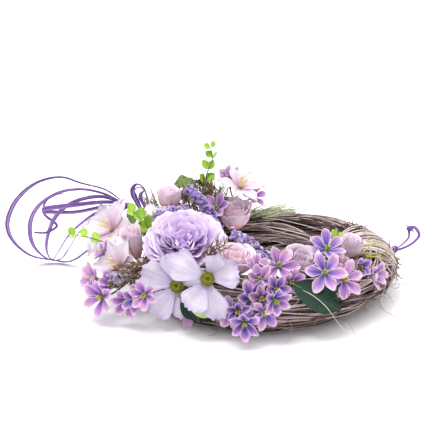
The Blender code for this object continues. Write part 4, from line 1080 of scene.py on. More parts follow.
# %% Star sprays
# Each star: its place, what it looks at, roll, size and how far its petals are open
STAR_SPRAYS = {
    "stars_right": ((64.0, -92.0, 60.0), [
        ((57, -73, 71.5), (10, 58), 55, 46, 24), ((51, -125, 66), (-8, 34), 30, 48, 18),
        ((71, -115, 55), (22, 28), 35, 46, 20), ((89, -93, 59.5), (10, 20), 0, 34, 62),
        ((102, -94, 52), (50, 6), 25, 36, 40), ((69, -95, 60), (0, 48), 10, 32, 50)]),
    "stars_middle": ((-2.0, -102.0, 59.0), [
        ((5, -104, 65), (12, 42), 12, 46, 22), ((1, -140, 54.5), (6, 14), 30, 38, 40),
        ((-2, -156, 50), (24, 0), 0, 38, 40), ((-18, -113, 65), (8, 58), 45, 34, 40),
        ((-14, -126, 58), (-10, 34), 20, 38, 36), ((15, -124, 55), (26, 22), 50, 38, 42),
        ((-14, -142, 46), (4, 8), 10, 38, 34)]),
    "stars_front": ((-34.0, -136.0, 46.0), [
        ((-25, -142, 44), (22, 18), 20, 46, 30), ((-42.5, -141, 30), (-8, 10), 23, 38, 10),
        ((-31, -159, 27), (0, -6), 60, 42, 34), ((-12, -150, 34), (18, 4), 40, 38, 32),
        ((-38, -152, 36), (6, 4), 0, 34, 34)]),
    "stars_left": ((-150.0, -66.0, 36.0), [
        ((-186, -74, 40), (-62, 18), 15, 44, 26), ((-176, -100, 30), (-38, 8), 0, 46, 30),
        ((-150, -108, 30), (-16, 6), 24, 40, 34), ((-131, -122, 41), (-14, 14), 18, 38, 34),
        ((-166, -88, 38), (-40, 34), 30, 38, 48), ((-141, -112, 32), (-8, 18), 0, 38, 38),
        ((-180, -86, 32), (-60, 4), 10, 36, 42)]),
    "stars_back": ((-34.0, 108.0, 63.0), [
        ((-42, 108, 89), (-4, 72), 6, 46, 60), ((-16, 114, 72), (36, 40), 20, 38, 34)]),
    "stars_back_left": ((-62.0, 82.0, 60.0), [((-58, 65, 72.5), (-10, 44), 39, 42, 30)]),
    "stars_far_left": ((-158.0, -34.0, 46.0), [((-178, -38, 56), (-76, 34), 12, 34, 38)]),
}
STAR_OUTLINE = ((0, 0.2), (0.25, 0.48), (0.5, 0.84), (0.72, 1.0), (0.9, 0.98), (1, 0.94))


def star(heap, stamens, place, look_at, roll, size, openness, draw):
    look = facing(*look_at)
    axes = axes_of(look, roll)
    satin = STAR_SATIN_PINK if draw.uniform() < (0.7 if place[0] < -100 else 0.4) else STAR_SATIN
    own_tone = draw.uniform(0.15, 0.85)
    for k in range(6):
        surface = petal_surface(
            (size / 2 - 1.0) * draw.uniform(0.92, 1.06), size * 0.25 * draw.uniform(0.92, 1.1),
            60 * (k + 0.5) + draw.uniform(-7, 7), openness + draw.uniform(-8, 10),
            16 - 10 * (k % 2) + draw.uniform(-26, 10), STAR_OUTLINE, start=1.2,
            cup=draw.uniform(0.35, 0.7), tilt=draw.uniform(-0.2, 0.2), wave=0.5, waves=1.4,
            phase=draw.uniform(0, 6), tip=0.42, fold=-0.2, rows=12, cols=11)
        add_petal(heap, surface, place, axes, satin, own_tone + draw.uniform(-0.3, 0.3), 0.5)
    add_turned(heap, [(0, -7.0), (1.5, -5.5), (1.9, -3), (3.4, 0.4), (2.6, 1.6), (0, 1.2)], 8,
               place, axes, GREEN_STEM)
    for k in range(6):  # the stamens
        turn = math.radians(60 * k + draw.uniform(-20, 20))
        out = np.array([math.cos(turn), math.sin(turn), 0])
        far = draw.uniform(1.4, 3.4)
        path = [out * 0.6, out * far * 0.55 + (0, 0, 4.2), out * far + (0, 0, draw.uniform(7, 9))]
        stamens.add(smooth(path, 5) @ axes + place, [0.55, 0.5, 0.6, 0.95, 0.6],
                    draw.uniform(0.2, 1))
    return look


for name, (root, stars) in STAR_SPRAYS.items():
    draw = dice(name)
    heap, stamens, stems = Heap(), Strands(), Strands()
    root = np.array(root)
    stems.add(stem_path(root, (0, 0, -1)), 1.6)
    for place, look_at, roll, size, openness in stars:
        look = star(heap, stamens, np.array(place, float), look_at, roll, size, openness, draw)
        back = np.array(place) - look * 5
        bend = back - look * np.linalg.norm(root - back) * 0.35
        stems.add(smooth([back, (back + 2 * bend + root) / 4, root], 6), 1.1)
    stamens.into(heap, DIPPED_STAMEN, sides=5)
    stems.into(heap, GREEN_STEM, sides=5)
    heap.piece("blooms_" + name, "purple_petal", name)

# %% [markdown]
# ## The ruffled lilac bloom
# A peony form: eight rings of thin satin petals, the outer ones broad and nearly flat, the inner
# ones narrow and upright, every rim crimped into ruffles, with a few more petals at the left
# that stand on edge. It is the rims seen edge-on that give the bloom its frills.

# %% Peony
PEONY_PLACE, PEONY_LOOK, PEONY_SIZE = np.array([-93.0, -38.0, 61.0]), (-8, 62), 90.0
# Each ring: how many petals, length and width as a share of half the bloom, rise and curl
PEONY_RINGS = ((6, .98, 1.05, 4, 16), (7, .96, .98, 13, 22), (7, .92, .90, 24, 24),
               (7, .86, .84, 35, 24), (7, .78, .76, 46, 22), (4, .62, .62, 60, 14),
               (4, .50, .50, 72, 8), (2, .44, .44, 84, 2))
# Extra petals on the left, seen edge-on: angle, length, width, rise and curl
PEONY_LAYERS = ((150, .93, .8, 18, 30), (172, .9, .8, 27, 34), (196, .9, .8, 22, 30),
                (214, .86, .7, 34, 34), (186, .8, .7, 38, 36), (162, .74, .66, 44, 36),
                (204, .72, .64, 48, 32), (180, .62, .56, 56, 30), (222, .9, .7, 16, 26))
PEONY_OUTLINE = ((0, .28), (.35, .78), (.65, 1.0), (.88, 1.0), (1, .9))


def make_peony():
    heap, draw = Heap(), np.random.default_rng(5)
    look = facing(*PEONY_LOOK)
    axes = axes_of(look)
    petals = [(360 * (k + 0.37 * n) / count, reach, broad, pitch, bend)
              for n, (count, reach, broad, pitch, bend) in enumerate(PEONY_RINGS)
              for k in range(count)]
    for angle, reach, broad, pitch, bend in [*petals, *PEONY_LAYERS]:
        ruffle = 1.5 if reach < 0.6 else 1.0
        surface = petal_surface(
            PEONY_SIZE / 2 * reach * draw.uniform(0.9, 1.04), PEONY_SIZE / 2 * broad
            * draw.uniform(0.95, 1.25), angle + draw.uniform(-9, 9),
            pitch + draw.uniform(-4, 4), bend + draw.uniform(-8, 8), PEONY_OUTLINE,
            start=3.0, cup=draw.uniform(0.1, 0.28), tilt=draw.uniform(-0.2, 0.24),
            wave=draw.uniform(1.4, 3.2), waves=draw.uniform(1.1, 2.2) * ruffle,
            phase=draw.uniform(0, 6), tip=0.3, teeth=draw.uniform(2.4, 4.5), tooth=0.022 * ruffle,
            pleat=0.14 * ruffle, pleats=draw.uniform(6, 9), curl_back=draw.uniform(-8, 22),
            rows=13, cols=17)
        add_petal(heap, surface, PEONY_PLACE, axes, PEONY_SATIN, draw.uniform(0, 1), 0.4)
    # The heart: a dome in the satin's darkest violet, painted shade in the sunken middle
    add_turned(heap, [(0, -7), (5, -5), (9, -1), (8, 4), (4, 7), (0, 8)], 12, PEONY_PLACE, axes,
               PEONY_SATIN, -1.5)
    stand(heap, PEONY_PLACE, look, 4, 2.2)
    heap.piece("peony_bloom", "lilac_petal", "peony")


make_peony()

# %% [markdown]
# ## The white blooms and their hearts
# Two cosmos forms with five broad petals each, blunt and toothed at the tip and pressed into
# lengthwise ribs. Each heart is a dome of glued flock round a dark pit. The dome is a turned
# solid, and the scatter tree covers it with a spiral of small grains.

# %% Cosmos blooms
# Each petal: its angle, length, curl and width
COSMOS = {
    "cosmos_right": ((-68.0, -138.0, 64.0), (8, 26), (
        (150, 40, 4, 33), (64, 29, 58, 22), (10, 31, 14, 30), (-76, 40, -14, 25),
        (-124, 34, 4, 30))),
    "cosmos_left": ((-98.0, -112.0, 47.5), (-14, 16), (
        (166, 39, 2, 34), (104, 32, -6, 26), (28, 30, -10, 20), (-72, 33, -8, 24),
        (-127, 38, 0, 31))),
}
COSMOS_OUTLINE = ((0, .14), (.2, .34), (.42, .68), (.66, .97), (.85, 1.0), (1, .84))
GRAIN_SHAPE = (
    [(0, 0, 1), (.8, 0, .2), (0, .8, .2), (-.8, 0, .2), (0, -.8, .2), (0, 0, -.6)],
    [(0, 1, 2), (0, 2, 3), (0, 3, 4), (0, 4, 1), (5, 2, 1), (5, 3, 2), (5, 4, 3), (5, 1, 4)],
    [(0, 0)] * 6)


def make_cosmos(name, place, look_at, petals):
    heap, draw = Heap(), np.random.default_rng(len(name))
    look = facing(*look_at)
    axes, place = axes_of(look), np.array(place)
    for angle, length, bend, width in petals:
        surface = petal_surface(
            length, width, angle, 6, bend, COSMOS_OUTLINE, start=2.0,
            cup=draw.uniform(0.12, 0.3), tilt=draw.uniform(-0.1, 0.22), wave=1.5, waves=1.5,
            phase=draw.uniform(0, 6), tip=0.2, teeth=draw.uniform(3.6, 5.2), tooth=0.03,
            pleat=0.42, pleats=draw.uniform(5, 7), curl_back=draw.uniform(0, 26), rows=18,
            cols=27)
        add_petal(heap, surface, place, axes, WHITE_VOILE, draw.uniform(0, 1), 0.5)
    add_turned(heap, [(0, -6), (2, -5), (3.4, -2), (5.4, 1), (5.4, 2.4), (0, 2.6)], 16, place,
               axes, GREEN_STEM)
    stand(heap, place, look, 4, 1.4)
    heap.piece(name + "_bloom", "white_petal", name)
    make_heart(name, place, axes)


# The dome from its foot over its shoulder into the pit: radius and height
HEART_PROFILE = ((5.2, 2.7), (6.6, 3.4), (7.2, 4.6), (6.6, 5.9), (5.2, 6.8), (3.6, 6.9),
                 (2.4, 6.0))
HEART_GRAINS, PIT_GRAINS = 420, 7
GOLDEN_ANGLE = 2.39996  # radians; each grain is turned by it from the one before


def make_heart(name, place, axes):
    heap = Heap()
    add_turned(heap, [*[(r * 0.97, z - 0.15) for r, z in HEART_PROFILE], (1.2, 5.0), (0, 4.8)],
               24, place, axes, DARK_FLOCK)
    profile = smooth([(r, z) for r, z in HEART_PROFILE], 60)
    points, leans = [], []
    for k in range(HEART_GRAINS):
        at = (k / HEART_GRAINS) ** 0.8
        r, z = profile[min(int(at * 60), 59)]
        ahead = profile[min(int(at * 60) + 1, 59)] - profile[max(int(at * 60) - 1, 0)]
        turn = GOLDEN_ANGLE * k
        around = np.array([math.cos(turn), math.sin(turn), 0])
        points.append(around * r + (0, 0, z))
        leans.append(around * ahead[1] - np.array([0, 0, ahead[0]]))
    scatter(heap, np.array(points) @ axes + place, np.array(leans) @ axes, GRAIN_SHAPE, 0.62,
            OLIVE_FLOCK, 3)
    pit = np.array([(1.4 * math.cos(t), 1.4 * math.sin(t), 5.2) for t in range(PIT_GRAINS)])
    scatter(heap, pit @ axes + place, np.tile(axes[2], (PIT_GRAINS, 1)), GRAIN_SHAPE, 0.8,
            OLIVE_FLOCK, 4)
    heap.piece(name + "_flock_heart", "pollen", name + "_heart")


for name, (place, look_at, petals) in COSMOS.items():
    make_cosmos(name, place, look_at, petals)

# %% [markdown]
# ## Roses
# Half-open roses are layers of taffeta wrapped round each other, each petal with one side inside
# its neighbour and the other outside it, the rim rolled outwards. A petal here is a patch of a
# cup: an angle round the rose, a radius that swells from the base, and a rim that turns over.

# %% Roses
# Each rose: place, look, size, height, layers (petals, how far out, how tall) and its cloth
ROSES = {
    "rose_front": ((-40.3, -87.7, 55.0), (20, 72), 36.0, 26.0,
                   ((3, .36, .86), (3, .58, .94), (3, .80, .98), (4, .97, .92)), BLUSH_TAFFETA),
    "rose_mid": ((28.0, -82.5, 50.0), (25, 66), 34.0, 27.0,
                 ((3, .36, .86), (3, .58, .96), (3, .80, 1.0), (4, .97, .94)), PALE_TAFFETA),
    "rose_white": ((83.5, -49.0, 57.5), (60, 78), 23.0, 22.0,
                   ((3, .36, .9), (3, .66, 1.0), (3, .95, .96)), PALE_TAFFETA),
    "rose_back_right": ((-38.0, 79.0, 48.0), (8, 74), 35.0, 31.0,
                        ((3, .36, .86), (3, .58, .96), (3, .80, 1.0), (4, .97, .96)),
                        BLUSH_TAFFETA),
    "rose_back_left": ((-112.5, 57.5, 75.5), (-10, 84), 27.0, 26.0,
                       ((3, .36, .9), (3, .68, .97), (3, .95, 1.0)), BLUSH_TAFFETA),
    "rose_left": ((-146.0, -22.0, 46.0), (-35, 74), 21.0, 38.0,
                  ((3, .30, .95), (3, .60, 1.0), (3, .92, .95)), BLUSH_TAFFETA),
}


def wrapped_petal(radius, height, angle, half_angle, flare, spiral_in, roll_out, draw):
    """A patch of a cup: v rises from its base to its rim, u runs round it from -1 to 1."""
    u, v = np.meshgrid(np.linspace(-1, 1, 13), np.linspace(0, 1, 12))
    belly = radius * (0.5 + 0.5 * np.sin(np.minimum(1.7 * v, 1) * math.pi / 2))
    spread = half_angle * (0.6 + 0.4 * np.sin(math.pi * np.clip(v + 0.25, 0, 0.75)))
    turn = np.radians(angle + spread * u)
    away = (belly + flare * v ** 3 + spiral_in * u + roll_out * v ** 9
            + 0.5 * v * np.sin(2.6 * math.pi * u + draw.uniform(0, 6))
            - 0.10 * radius * (1 - np.cos(np.radians(spread * u))))
    up = height * v * (1 - 0.16 * u ** 2) - roll_out * 0.8 * v ** 14 \
        + 0.35 * v * np.sin(4 * math.pi * u + draw.uniform(0, 6))
    grid = np.stack([away * np.cos(turn), away * np.sin(turn), up], axis=-1)
    return grid, np.stack([(u + 1) / 2, v], axis=-1)


def make_rose(name, place, look_at, size, height, layers, cloth):
    heap, draw = Heap(), dice(name)
    look = facing(*look_at)
    axes, place = axes_of(look), np.array(place)
    for n, (count, far, tall) in enumerate(layers):
        for k in range(count):
            surface = wrapped_petal(
                size / 2 * far * draw.uniform(0.96, 1.04), height * tall
                * draw.uniform(0.95, 1.03), 360 * (k + 0.37 * n) / count + draw.uniform(-8, 8),
                360 / count * 0.66, 0.4 + 0.5 * n, 1.0 + 0.3 * n, 0.3 + 0.6 * n, draw)
            add_petal(heap, surface, place, axes, cloth, draw.uniform(0, 1), 0.5)
    add_turned(heap, [(0, -5), (1.6, -4), (size * 0.16, -1.5), (size * 0.2, 1.5),
                      (size * 0.12, height * 0.5), (0, height * 0.6)], 12, place, axes, cloth, 0.3)
    for k in range(5):  # the green cup of five sepals
        grid, places = petal_surface(size * 0.3, size * 0.14, 72 * k + 20, 28, 60,
                                     ((0, .5), (.4, 1), (1, .1)), start=size * 0.1, cup=0.2,
                                     rows=6, cols=5)
        add_petal(heap, (grid - (0, 0, 2.4), places), place, axes, GREEN_LEAF, 0.6, 0.5)
    stand(heap, place, look, 3, 1.5)
    heap.piece(name + "_bloom", "pink_petal", name)


for name, rose in ROSES.items():
    make_rose(name, *rose)

# %% [markdown]
# ## Lilies
# Four pale blooms with six narrow organza petals that curl back, and long yellow stamens. The
# same petal surface serves, with a pointed outline and a bend that turns down instead of up.

# %% Lilies
# Each lily: place, look, roll, size, how wide its petals are
LILIES = {
    "lily_top": ((-31.0, 87.4, 91.0), (32, 58), 68, 52.0, 0.27),
    "lily_white": ((-174.0, 13.0, 64.5), (-46, 40), 50, 70.0, 0.34),
    "lily_left": ((-160.0, -55.0, 48.0), (-44, 26), 45, 58.0, 0.34),
    "lily_back": ((-130.5, 28.0, 68.0), (0, 66), 12, 48.0, 0.3),
}
LILY_OUTLINE = ((0, .2), (.25, .72), (.5, 1.0), (.78, .86), (1, .2))


def make_lily(name, place, look_at, roll, size, broad):
    heap, draw = Heap(), dice(name)
    look = facing(*look_at)
    axes, place = axes_of(look, roll), np.array(place)
    for k in range(6):
        surface = petal_surface(
            size * 0.55 * draw.uniform(0.94, 1.04), size * broad, 60 * (k + 0.5)
            + draw.uniform(-5, 5), 34 - 8 * (k % 2), -22 + draw.uniform(-8, 6), LILY_OUTLINE,
            start=1.8, cup=0.24, tilt=draw.uniform(-0.1, 0.1), wave=1.1, waves=2.2,
            phase=draw.uniform(0, 6), tip=0.3, pleat=0.2, pleats=5, fold=-0.08, rows=14, cols=13)
        add_petal(heap, surface, place, axes, PALE_ORGANZA, draw.uniform(0, 1), 0.45)
    add_turned(heap, [(0, -9), (1.4, -7), (2.0, -3), (3.2, 0.6), (2.2, 2.2), (0, 1.6)], 10, place,
               axes, GREEN_STEM)
    stamens = Strands()
    for k in range(5):
        turn = math.radians(72 * k + draw.uniform(-15, 15))
        out = np.array([math.cos(turn), math.sin(turn), 0])
        tall = size * draw.uniform(0.26, 0.36)
        path = smooth([out * 0.6, out * 2.4 + (0, 0, tall * 0.6), out * 5 + (0, 0, tall)], 7)
        stamens.add(path @ axes + place, [0.5, .45, .45, .45, .5, 1.0, 0.6], draw.uniform(.3, 1))
    stamens.into(heap, PALE_STAMEN, sides=5)
    stand(heap, place, look, 7, 1.3)
    heap.piece(name + "_bloom", "white_petal", name)


for name, lily in LILIES.items():
    make_lily(name, *lily)

# %% [markdown]
# ## Eucalyptus and leaves
# Eucalyptus tips carry round leaves in crossed pairs, big below and small at the tip, moulded in
# lime green. The single leaves are cut from cloth, with a wired stalk.

# %% Eucalyptus tips
# Each tip: its stem's path, how many pairs of leaves, their size from the lowest to the top
EUCALYPTUS = {
    "eucalyptus_top": ([(-62, 96, 58), (-70, 94, 84.5), (-70, 94, 104.5), (-63, 95, 122.5),
                        (-65, 96, 138)], 5, 15, 9),
    "eucalyptus_middle": ([(-127, -5.5, 52.5), (-130, -8, 67), (-138, -8, 81), (-149, -9, 92)],
                          4, 18, 11),
    "eucalyptus_left": ([(-152, 0.5, 44), (-178, -4, 55), (-198, -8, 63), (-213, -12, 67)],
                        4, 11, 10),
    "eucalyptus_right": ([(75, -56, 54), (68, -44, 66), (70, -40, 76)], 3, 11, 8),
}
ROUND_OUTLINE = ((0, .2), (.16, .64), (.36, .92), (.58, 1.0), (.8, .94), (1, .8))


def make_eucalyptus(name, path, pairs, size_from, size_to):
    heap, stems, draw = Heap(), Strands(), dice(name)
    line = smooth(path, pairs + 1)
    stems.add(smooth(path, 24), np.linspace(0.95, 0.6, 24), 0.7)
    for k in range(pairs):
        heading = unit(line[k + 1] - line[k])
        size = size_from + (size_to - size_from) * k / max(pairs - 1, 1)
        finish = COOL_LEAF if k == 0 and name != "eucalyptus_left" else LIME_LEAF
        for side in (-1, 1):
            face = facing(draw.uniform(-40, 40), draw.uniform(35, 75))
            out = unit(np.cross(heading, face) * side + heading * draw.uniform(0.2, 0.7)
                       + face * draw.uniform(-0.2, 0.3))
            face = unit(face - out * (face @ out))
            surface = petal_surface(
                size * draw.uniform(0.92, 1.05), size * 0.9, 0, 8, 10, ROUND_OUTLINE, start=0.6,
                cup=draw.uniform(0.06, 0.2), tip=0.46, fold=-0.1, rows=11, cols=11)
            add_petal(heap, surface, line[k + 1], np.array([out, np.cross(face, out), face]),
                      finish, draw.uniform(0, 1), 0.7)
    stems.add(stem_path(np.array(path[0], float), (0, 0, -1)), 0.95, 0.7)
    stems.into(heap, GREEN_STEM, sides=6)
    heap.piece(name + "_sprig", "lime_leaf", name)


for name, tip in EUCALYPTUS.items():
    make_eucalyptus(name, *tip)

# %% Single leaves
LEAF_OUTLINE = ((0, .12), (.22, .74), (.48, 1.0), (.75, .8), (1, .12))
BROAD_OUTLINE = ((0, .12), (.2, .7), (.5, 1.0), (.8, .92), (1, .4))
# Each leaf: where its stalk ends, which way it runs, which way its face looks, length and
# width, its skin and outline
LEAVES = {
    "leaf_front_right": ((20.5, -132.0, 56.0), (48, -18, -19), (0.1, -0.7, 0.7), 55, 33,
                         GREEN_LEAF, BROAD_OUTLINE),
    "leaf_back_olive": ((-92.0, 92.0, 78.0), (-6, 2, 22), (0.1, -0.95, 0.3), 30, 26, OLIVE_LEAF,
                        BROAD_OUTLINE),
    "leaf_back_dark": ((-66.0, 101.0, 90.0), (-18, -2, 7), (0.3, -0.8, 0.5), 22, 10, GREEN_LEAF,
                       LEAF_OUTLINE),
    "leaf_left_olive": ((-152.0, 24.0, 66.5), (-3, 2, 22), (-0.2, -0.95, 0.2), 25, 12,
                        OLIVE_LEAF, LEAF_OUTLINE),
    "leaf_under_left": ((-93.0, -127.0, 36.0), (12, -4, -18), (0, -0.9, 0.4), 28, 15,
                        GREEN_LEAF, LEAF_OUTLINE),
    "leaf_under_right": ((-83.0, -129.0, 30.0), (22, -4, -12), (0, -0.8, 0.6), 32, 14,
                         GREEN_LEAF, LEAF_OUTLINE),
}
# The leaves that only show as colour between the blooms
SMALL_LEAVES = {
    "leaf_mauve": ((-84.0, -127.0, 17.0), (-10, -6, -7), (0, -0.7, 0.6), 15, 11, MAUVE_LEAF,
                   LEAF_OUTLINE),
    "leaf_light": ((-84.0, -131.0, 32.0), (22, -5, -7), (0, -0.8, 0.6), 28, 15, LIGHT_LEAF,
                   LEAF_OUTLINE),
    "leaf_small_dark": ((30.0, -66.0, 52.0), (8, -6, 14), (0, -0.9, 0.4), 16, 9, GREEN_LEAF,
                        LEAF_OUTLINE),
}


def make_leaf(name, place, along, face, length, width, skin, outline, *nodes):
    heap, draw = Heap(), dice(name)
    along, place = unit(along), np.array(place, float)
    face = unit(np.array(face) - along * (np.array(face) @ along))
    axes = np.array([along, np.cross(face, along), face])
    surface = petal_surface(length, width, 0, 4, -20, outline, start=-2, cup=0.1, fold=-0.16,
                            wave=0.9, waves=3.0, tip=0.26, rows=20, cols=15)
    add_petal(heap, surface, place, axes, skin, draw.uniform(0, 1), 0.6)
    stems = Strands()
    stalk = np.array([(-7, 0.1, -0.3), (-2, 0.1, -0.3), (length * 0.15, 0.2, -0.5)]) @ axes + place
    stems.add(smooth(stalk, 6), np.linspace(0.9, 0.5, 6), 0.6)
    stems.add(stem_path(place - along * 6, -along), 0.9, 0.6)
    stems.into(heap, GREEN_STEM, sides=5)
    slot = "olive_leaf" if skin == OLIVE_LEAF else "green_leaf"
    heap.piece(name + "_blade", slot, *nodes)


for name, leaf in LEAVES.items():
    make_leaf(name, *leaf, name)
for name, leaf in SMALL_LEAVES.items():
    make_leaf(name, *leaf)

# %% [markdown]
# ## Statice
# Statice is sea lavender: a branching stem crowded on one side with papery cups, four to six
# millimetres across. Up to two hundred of them make a spray, so each is a five-lobed trumpet of
# thirty faces, set by the scatter tree, on a thin stalk from the strand tree.


# %% Statice sprays
def floret_shape():
    """A five-lobed trumpet about 2 across, its mouth along +Z."""
    corners, petal = [(0, 0, -1.1)], [(0.5, 0)]
    for k in range(5):
        turn = 2 * math.pi * k / 5
        corners.append((0.34 * math.cos(turn), 0.34 * math.sin(turn), -0.35))
        petal.append((0.5, 0.3))
    for k in range(10):
        turn = 2 * math.pi * (k - 0.5) / 10 + math.pi / 10
        far, up = (1.0, 0.3) if k % 2 == 0 else (0.66, 0.1)
        corners.append((far * math.cos(turn), far * math.sin(turn), up))
        petal.append((0.9, 1.0) if k % 2 == 0 else (0.7, 0.7))
    corners.append((0, 0, -0.3))
    petal.append((0.5, 0.1))
    faces = []
    for k in range(5):
        low, next_low = 1 + k, 1 + (k + 1) % 5
        lobe, notch, next_lobe = 6 + 2 * k, 7 + 2 * k, 6 + (2 * k + 2) % 10
        faces += [(0, next_low, low), (low, notch, lobe), (low, next_low, notch),
                  (next_low, next_lobe, notch), (lobe, notch, 16), (notch, next_lobe, 16)]
    return corners, faces, petal


FLORET = floret_shape()
# Each spray: its stem's path, how many cups, seed, how far they stand off, which way is up
STATICE = {
    "statice_left": ([(-119, 24, 54.5), (-139, 8, 61), (-131, 11, 73), (-111, 16, 81),
                      (-91, 21, 83)], 260, 31, 8.5, (-0.2, -0.4, 0.9), PAPERY_VIOLET),
    "statice_middle": ([(-58, 60, 50), (-62, 44, 63), (-74, 48, 81), (-92, 58, 95)],
                       230, 32, 9.0, (0.3, -0.4, 0.85), PAPERY_VIOLET),
    "statice_right": ([(-6, -80, 52), (-10, -72, 62), (-26, -66, 74), (-42, -62, 83)],
                      170, 33, 9.0, (0.3, -0.3, 0.9), PAPERY_VIOLET),
    "statice_pale": ([(-140, -72, 40), (-154, -82, 44), (-168, -86, 44)],
                     60, 34, 8.0, (-0.2, -0.7, 0.7), PAPERY_WHITE),
}


def make_statice(name, path, cups, seed, spread, up, paper):
    heap, stems, draw = Heap(), Strands(), np.random.default_rng(seed)
    line, up = smooth(path, cups), unit(up)
    stems.add(smooth(path, 20), 1.3, 0.5)
    stems.add(stem_path(np.array(path[0], float), (0, 0, -1)), 1.2)
    points, leans, pale_points, pale_leans = [], [], [], []
    for k in range(cups // 6, cups):
        heading = unit(line[min(k + 1, cups - 1)] - line[max(k - 1, 0)])
        side = unit(np.cross(heading, up))
        swing = draw.uniform(-1.15, 1.15)
        lean = unit(up * math.cos(swing) + side * math.sin(swing)
                    + heading * draw.uniform(-0.3, 0.5))
        here = line[k] + lean * spread * draw.uniform(0.55, 1.15)
        elbow = line[k] + (here - line[k]) * 0.5 + side * draw.uniform(-1, 1)
        if k % 2:
            stems.add([line[k], elbow, here], [0.5, 0.4, 0.35], draw.uniform(0.2, 1.0))
        pale = name == "statice_right" and draw.uniform() < 0.3
        (pale_points if pale else points).append(here)
        (pale_leans if pale else leans).append(unit(lean + draw.normal(0, 0.35, 3)))
    scatter(heap, points, leans, FLORET, 2.9, paper, seed)
    if pale_points:
        scatter(heap, pale_points, pale_leans, FLORET, 2.6, PAPERY_WHITE, seed + 1)
    stems.into(heap, DRIED_STEM, sides=4)
    heap.piece(name + "_spray", "statice", name)


for name, spray in STATICE.items():
    make_statice(name, *spray)

# %% [markdown]
# ## Dried brown sprays
# Between the blooms stand tufts of dried sea lavender that has lost its colour: stems that fork
# and fork again into twigs half a millimetre thick, each ending in a brown bud.

# %% Dried sprays
BUD = ([(0, 0, -1), (.45, 0, -.2), (-.22, .4, -.2), (-.22, -.4, -.2), (.4, 0, .7), (-.2, .35, .7),
        (-.2, -.35, .7), (0, 0, 1.1)],
       [(0, 2, 1), (0, 3, 2), (0, 1, 3), (1, 2, 5, 4), (2, 3, 6, 5), (3, 1, 4, 6), (4, 5, 7),
        (5, 6, 7), (6, 4, 7)], [(0, 0)] * 8)
# Each spray: its stem's path, how many twigs, seed, how far they reach
TWIG_SPRAYS = {
    "twigs_back": ([(-73, 84, 54), (-75, 80, 72), (-73, 78, 94)], 90, 35, 19.0),
    "twigs_back_left": ([(-110, 46, 53.5), (-126, 55, 67), (-134, 59, 85)], 40, 36, 13.0),
    "twigs_left": ([(-123, -58, 47), (-136, -76, 51), (-157, -85, 48)], 100, 37, 16.0),
    "twigs_rose": ([(-68, -85.5, 55.5), (-66, -95, 75.5), (-50, -101, 87.5)], 30, 38, 12.0),
}
# Tufts that fill the gaps between the back blooms, with no node of their own
MORE_TWIGS = {
    "twigs_by_rose": ([(-64, 84, 52), (-59, 85, 68), (-56, 86, 86)], 70, 41, 17.0),
    "twigs_by_olive": ([(-86, 76, 54), (-92, 76, 70), (-95, 76, 88)], 70, 42, 16.0),
    "twigs_under_statice": ([(-112, 30, 50), (-104, 32, 62), (-92, 34, 74)], 50, 43, 14.0),
}


def make_twigs(name, path, twigs, seed, reach, *nodes):
    heap, stems, draw = Heap(), Strands(), np.random.default_rng(seed)
    stems.add(smooth(path, 12), np.linspace(1.2, 0.7, 12))
    stems.add(stem_path(np.array(path[0], float), (0, 0, -1)), 1.1)
    line = smooth(path, twigs + 4)[3:-1]
    heading = unit(np.array(path[-1], float) - path[0])
    side = unit(np.cross(heading, (0.2, 0.3, 1)))
    other = np.cross(heading, side)
    buds, leans = [], []
    for k in range(twigs):
        swing = 2.4 * k + draw.uniform(-0.5, 0.5)
        out = side * math.cos(swing) + other * math.sin(swing)
        length = reach * draw.uniform(0.6, 1.1)
        elbow = line[k] + (out + 0.5 * heading) * length * 0.5
        tip = elbow + (out * 0.35 + heading) * length * 0.45
        twig = smooth([line[k], elbow, tip], 7)
        stems.add(twig, np.linspace(0.55, 0.3, 7), draw.uniform(0, 1))
        for m in (2, 3, 4, 5, 6):
            away = unit(twig[m] - twig[m - 1] + draw.normal(0, 0.55, 3))
            end = twig[m] + away * draw.uniform(3, 6)
            stems.add([twig[m], (twig[m] + end) / 2 + draw.normal(0, 0.3, 3), end],
                      [0.3, 0.26, 0.22], draw.uniform(0, 1))
            for share in (0.6, 1.0):
                buds.append(twig[m] + (end - twig[m]) * share + draw.normal(0, 0.4, 3))
                leans.append(unit(away + draw.normal(0, 0.5, 3)))
    stems.into(heap, DRIED_STEM, sides=3)
    scatter(heap, buds, leans, BUD, 0.95, DRIED_BUD, seed)
    heap.piece(name + "_spray", "dried_stem", *nodes)


for name, spray in TWIG_SPRAYS.items():
    make_twigs(name, *spray, name)
for name, spray in MORE_TWIGS.items():
    make_twigs(name, *spray)

# %% [markdown]
# ## Raffia
# Raffia is palm leaf torn into strips, dyed violet. It dries stiff and flat, with ribs along it,
# and keeps the curve it was bent into. Each loop is a path from the knot out and back, with its
# width carried along and slowly twisted, as the strip of the solid model does. The strand tree
# sweeps a circle squeezed to a sixth of its width, and a narrower strip runs beside each loop,
# as where the leaf has split.

